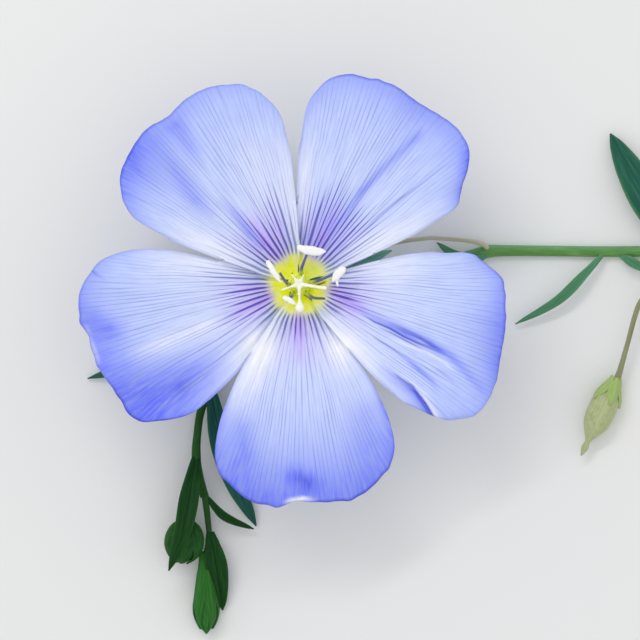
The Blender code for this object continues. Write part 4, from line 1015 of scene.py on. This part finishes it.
ovary_green = fresh_yellow("ovary_yellow_green", "#d0e22c", "#e8f24a", "#f6fa90", 0.4)
style_cream = fresh_yellow("style_cream", "#f2f4cc", "#fafbe2", "#fffff6", 0.25)
ovary_path = smooth_path([(0.0, 0.0, CLAW_Z + z, r) for z, r in OVARY], step=0.06)
tube("ovary", ovary_path, ovary_green, PISTIL, 40, lambda turn, length: 1 + 0.05 * np.cos(FIVE * turn))
for i, (direction, reach, thin, stigma) in enumerate(STYLES):
    line = (
        (0.1, 1.9, 0.12), (COLUMN_R / 2, 3.4, 0.12), (COLUMN_R, STYLE_TOP - 0.3, 0.23),
        (STAR_R, STYLE_TOP - 0.1, 0.13), (STAR_R + 0.35 * (reach - STAR_R), STYLE_TOP - 0.05, thin),
        (reach - 1.8 * stigma, STYLE_TOP, thin), (reach, STYLE_TOP, stigma),
        (reach + 0.75 * stigma, STYLE_TOP, 0.6 * stigma), (reach + stigma, STYLE_TOP, 0.1 * stigma),
    )
    path = smooth_path([(*polar(out, direction, CLAW_Z + z), r) for out, z, r in line], step=0.06)
    tube(f"style_{i + 1}", path, style_cream, PISTIL, 16)

# The floor, the light and the camera
# A pale matt floor under soft studio light, seen from straight above as the flower faces the viewer.
FLOOR_SIZE = 4.0  # metres
MOTTLE = 25.0  # millimetres across
LIT_PLACE = (0.0, 0.0, 0.005)  # metres
floor_mesh = bpy.data.meshes.new("floor")
half = FLOOR_SIZE / 2
corners = [(-half, -half, 0), (half, -half, 0), (half, half, 0), (-half, half, 0)]
floor_mesh.from_pydata(corners, [], [(0, 1, 2, 3)])
floor = bpy.data.objects.new("floor", floor_mesh)
bpy.context.scene.collection.objects.link(floor)
floor_paint, floor_tree, floor_shader = surface("floor_matt_white", Roughness=0.9)
mottle = add(floor_tree, "TexNoise", {"Scale": 1 / (MOTTLE * MM)})
pale = add(floor_tree, "ValToRGB", {"Fac": mottle}, stops=[(0.3, "#e6e6e2"), (0.7, "#ebebe8")])
floor_tree.links.new(pale, floor_shader.inputs["Base Color"])
floor_mesh.materials.append(floor_paint)

world = bpy.data.worlds.new("studio")
world.use_nodes = True
world.node_tree.nodes["Background"].inputs["Color"].default_value = srgb("#f6f7fb")
world.node_tree.nodes["Background"].inputs["Strength"].default_value = 0.92
bpy.context.scene.world = world
bpy.context.scene.view_settings.view_transform = "Standard"  # keeps the petals' clear blue


def soft_light(name, place, size, power):
    """A square studio light of a size in metres that faces the flower."""
    light = bpy.data.lights.new(name, "AREA")
    light.size = size
    light.energy = power
    lamp = bpy.data.objects.new(name, light)
    bpy.context.scene.collection.objects.link(lamp)
    lamp.location = place
    towards = np.array(LIT_PLACE) - np.array(place)
    yaw = math.atan2(towards[1], towards[0])
    pitch = math.atan2(math.hypot(towards[0], towards[1]), -towards[2])
    lamp.rotation_euler = (0.0, -pitch, yaw + math.pi)


soft_light("key_light", (-0.25, 0.45, 0.6), size=0.5, power=7.4)
soft_light("fill_light", (0.5, -0.2, 0.5), size=0.5, power=2.2)

SENSOR = 36.0
CAMERA_HEIGHT = 0.4  # metres
VIEW_WIDTH = 44.8  # millimetres across the view at the height of the petals
VIEW_Z = 7.6
MIDDLE_OF_VIEW = (0.00147, -0.00252)  # metres
camera_data = bpy.data.cameras.new("camera")
camera_data.sensor_width = SENSOR
camera_data.lens = SENSOR * (CAMERA_HEIGHT / MM - VIEW_Z) / VIEW_WIDTH
camera_data.clip_start = 0.01
camera_data.clip_end = 20.0
camera = bpy.data.objects.new("camera", camera_data)
bpy.context.scene.collection.objects.link(camera)
camera.location = (*MIDDLE_OF_VIEW, CAMERA_HEIGHT)
bpy.context.scene.camera = camera
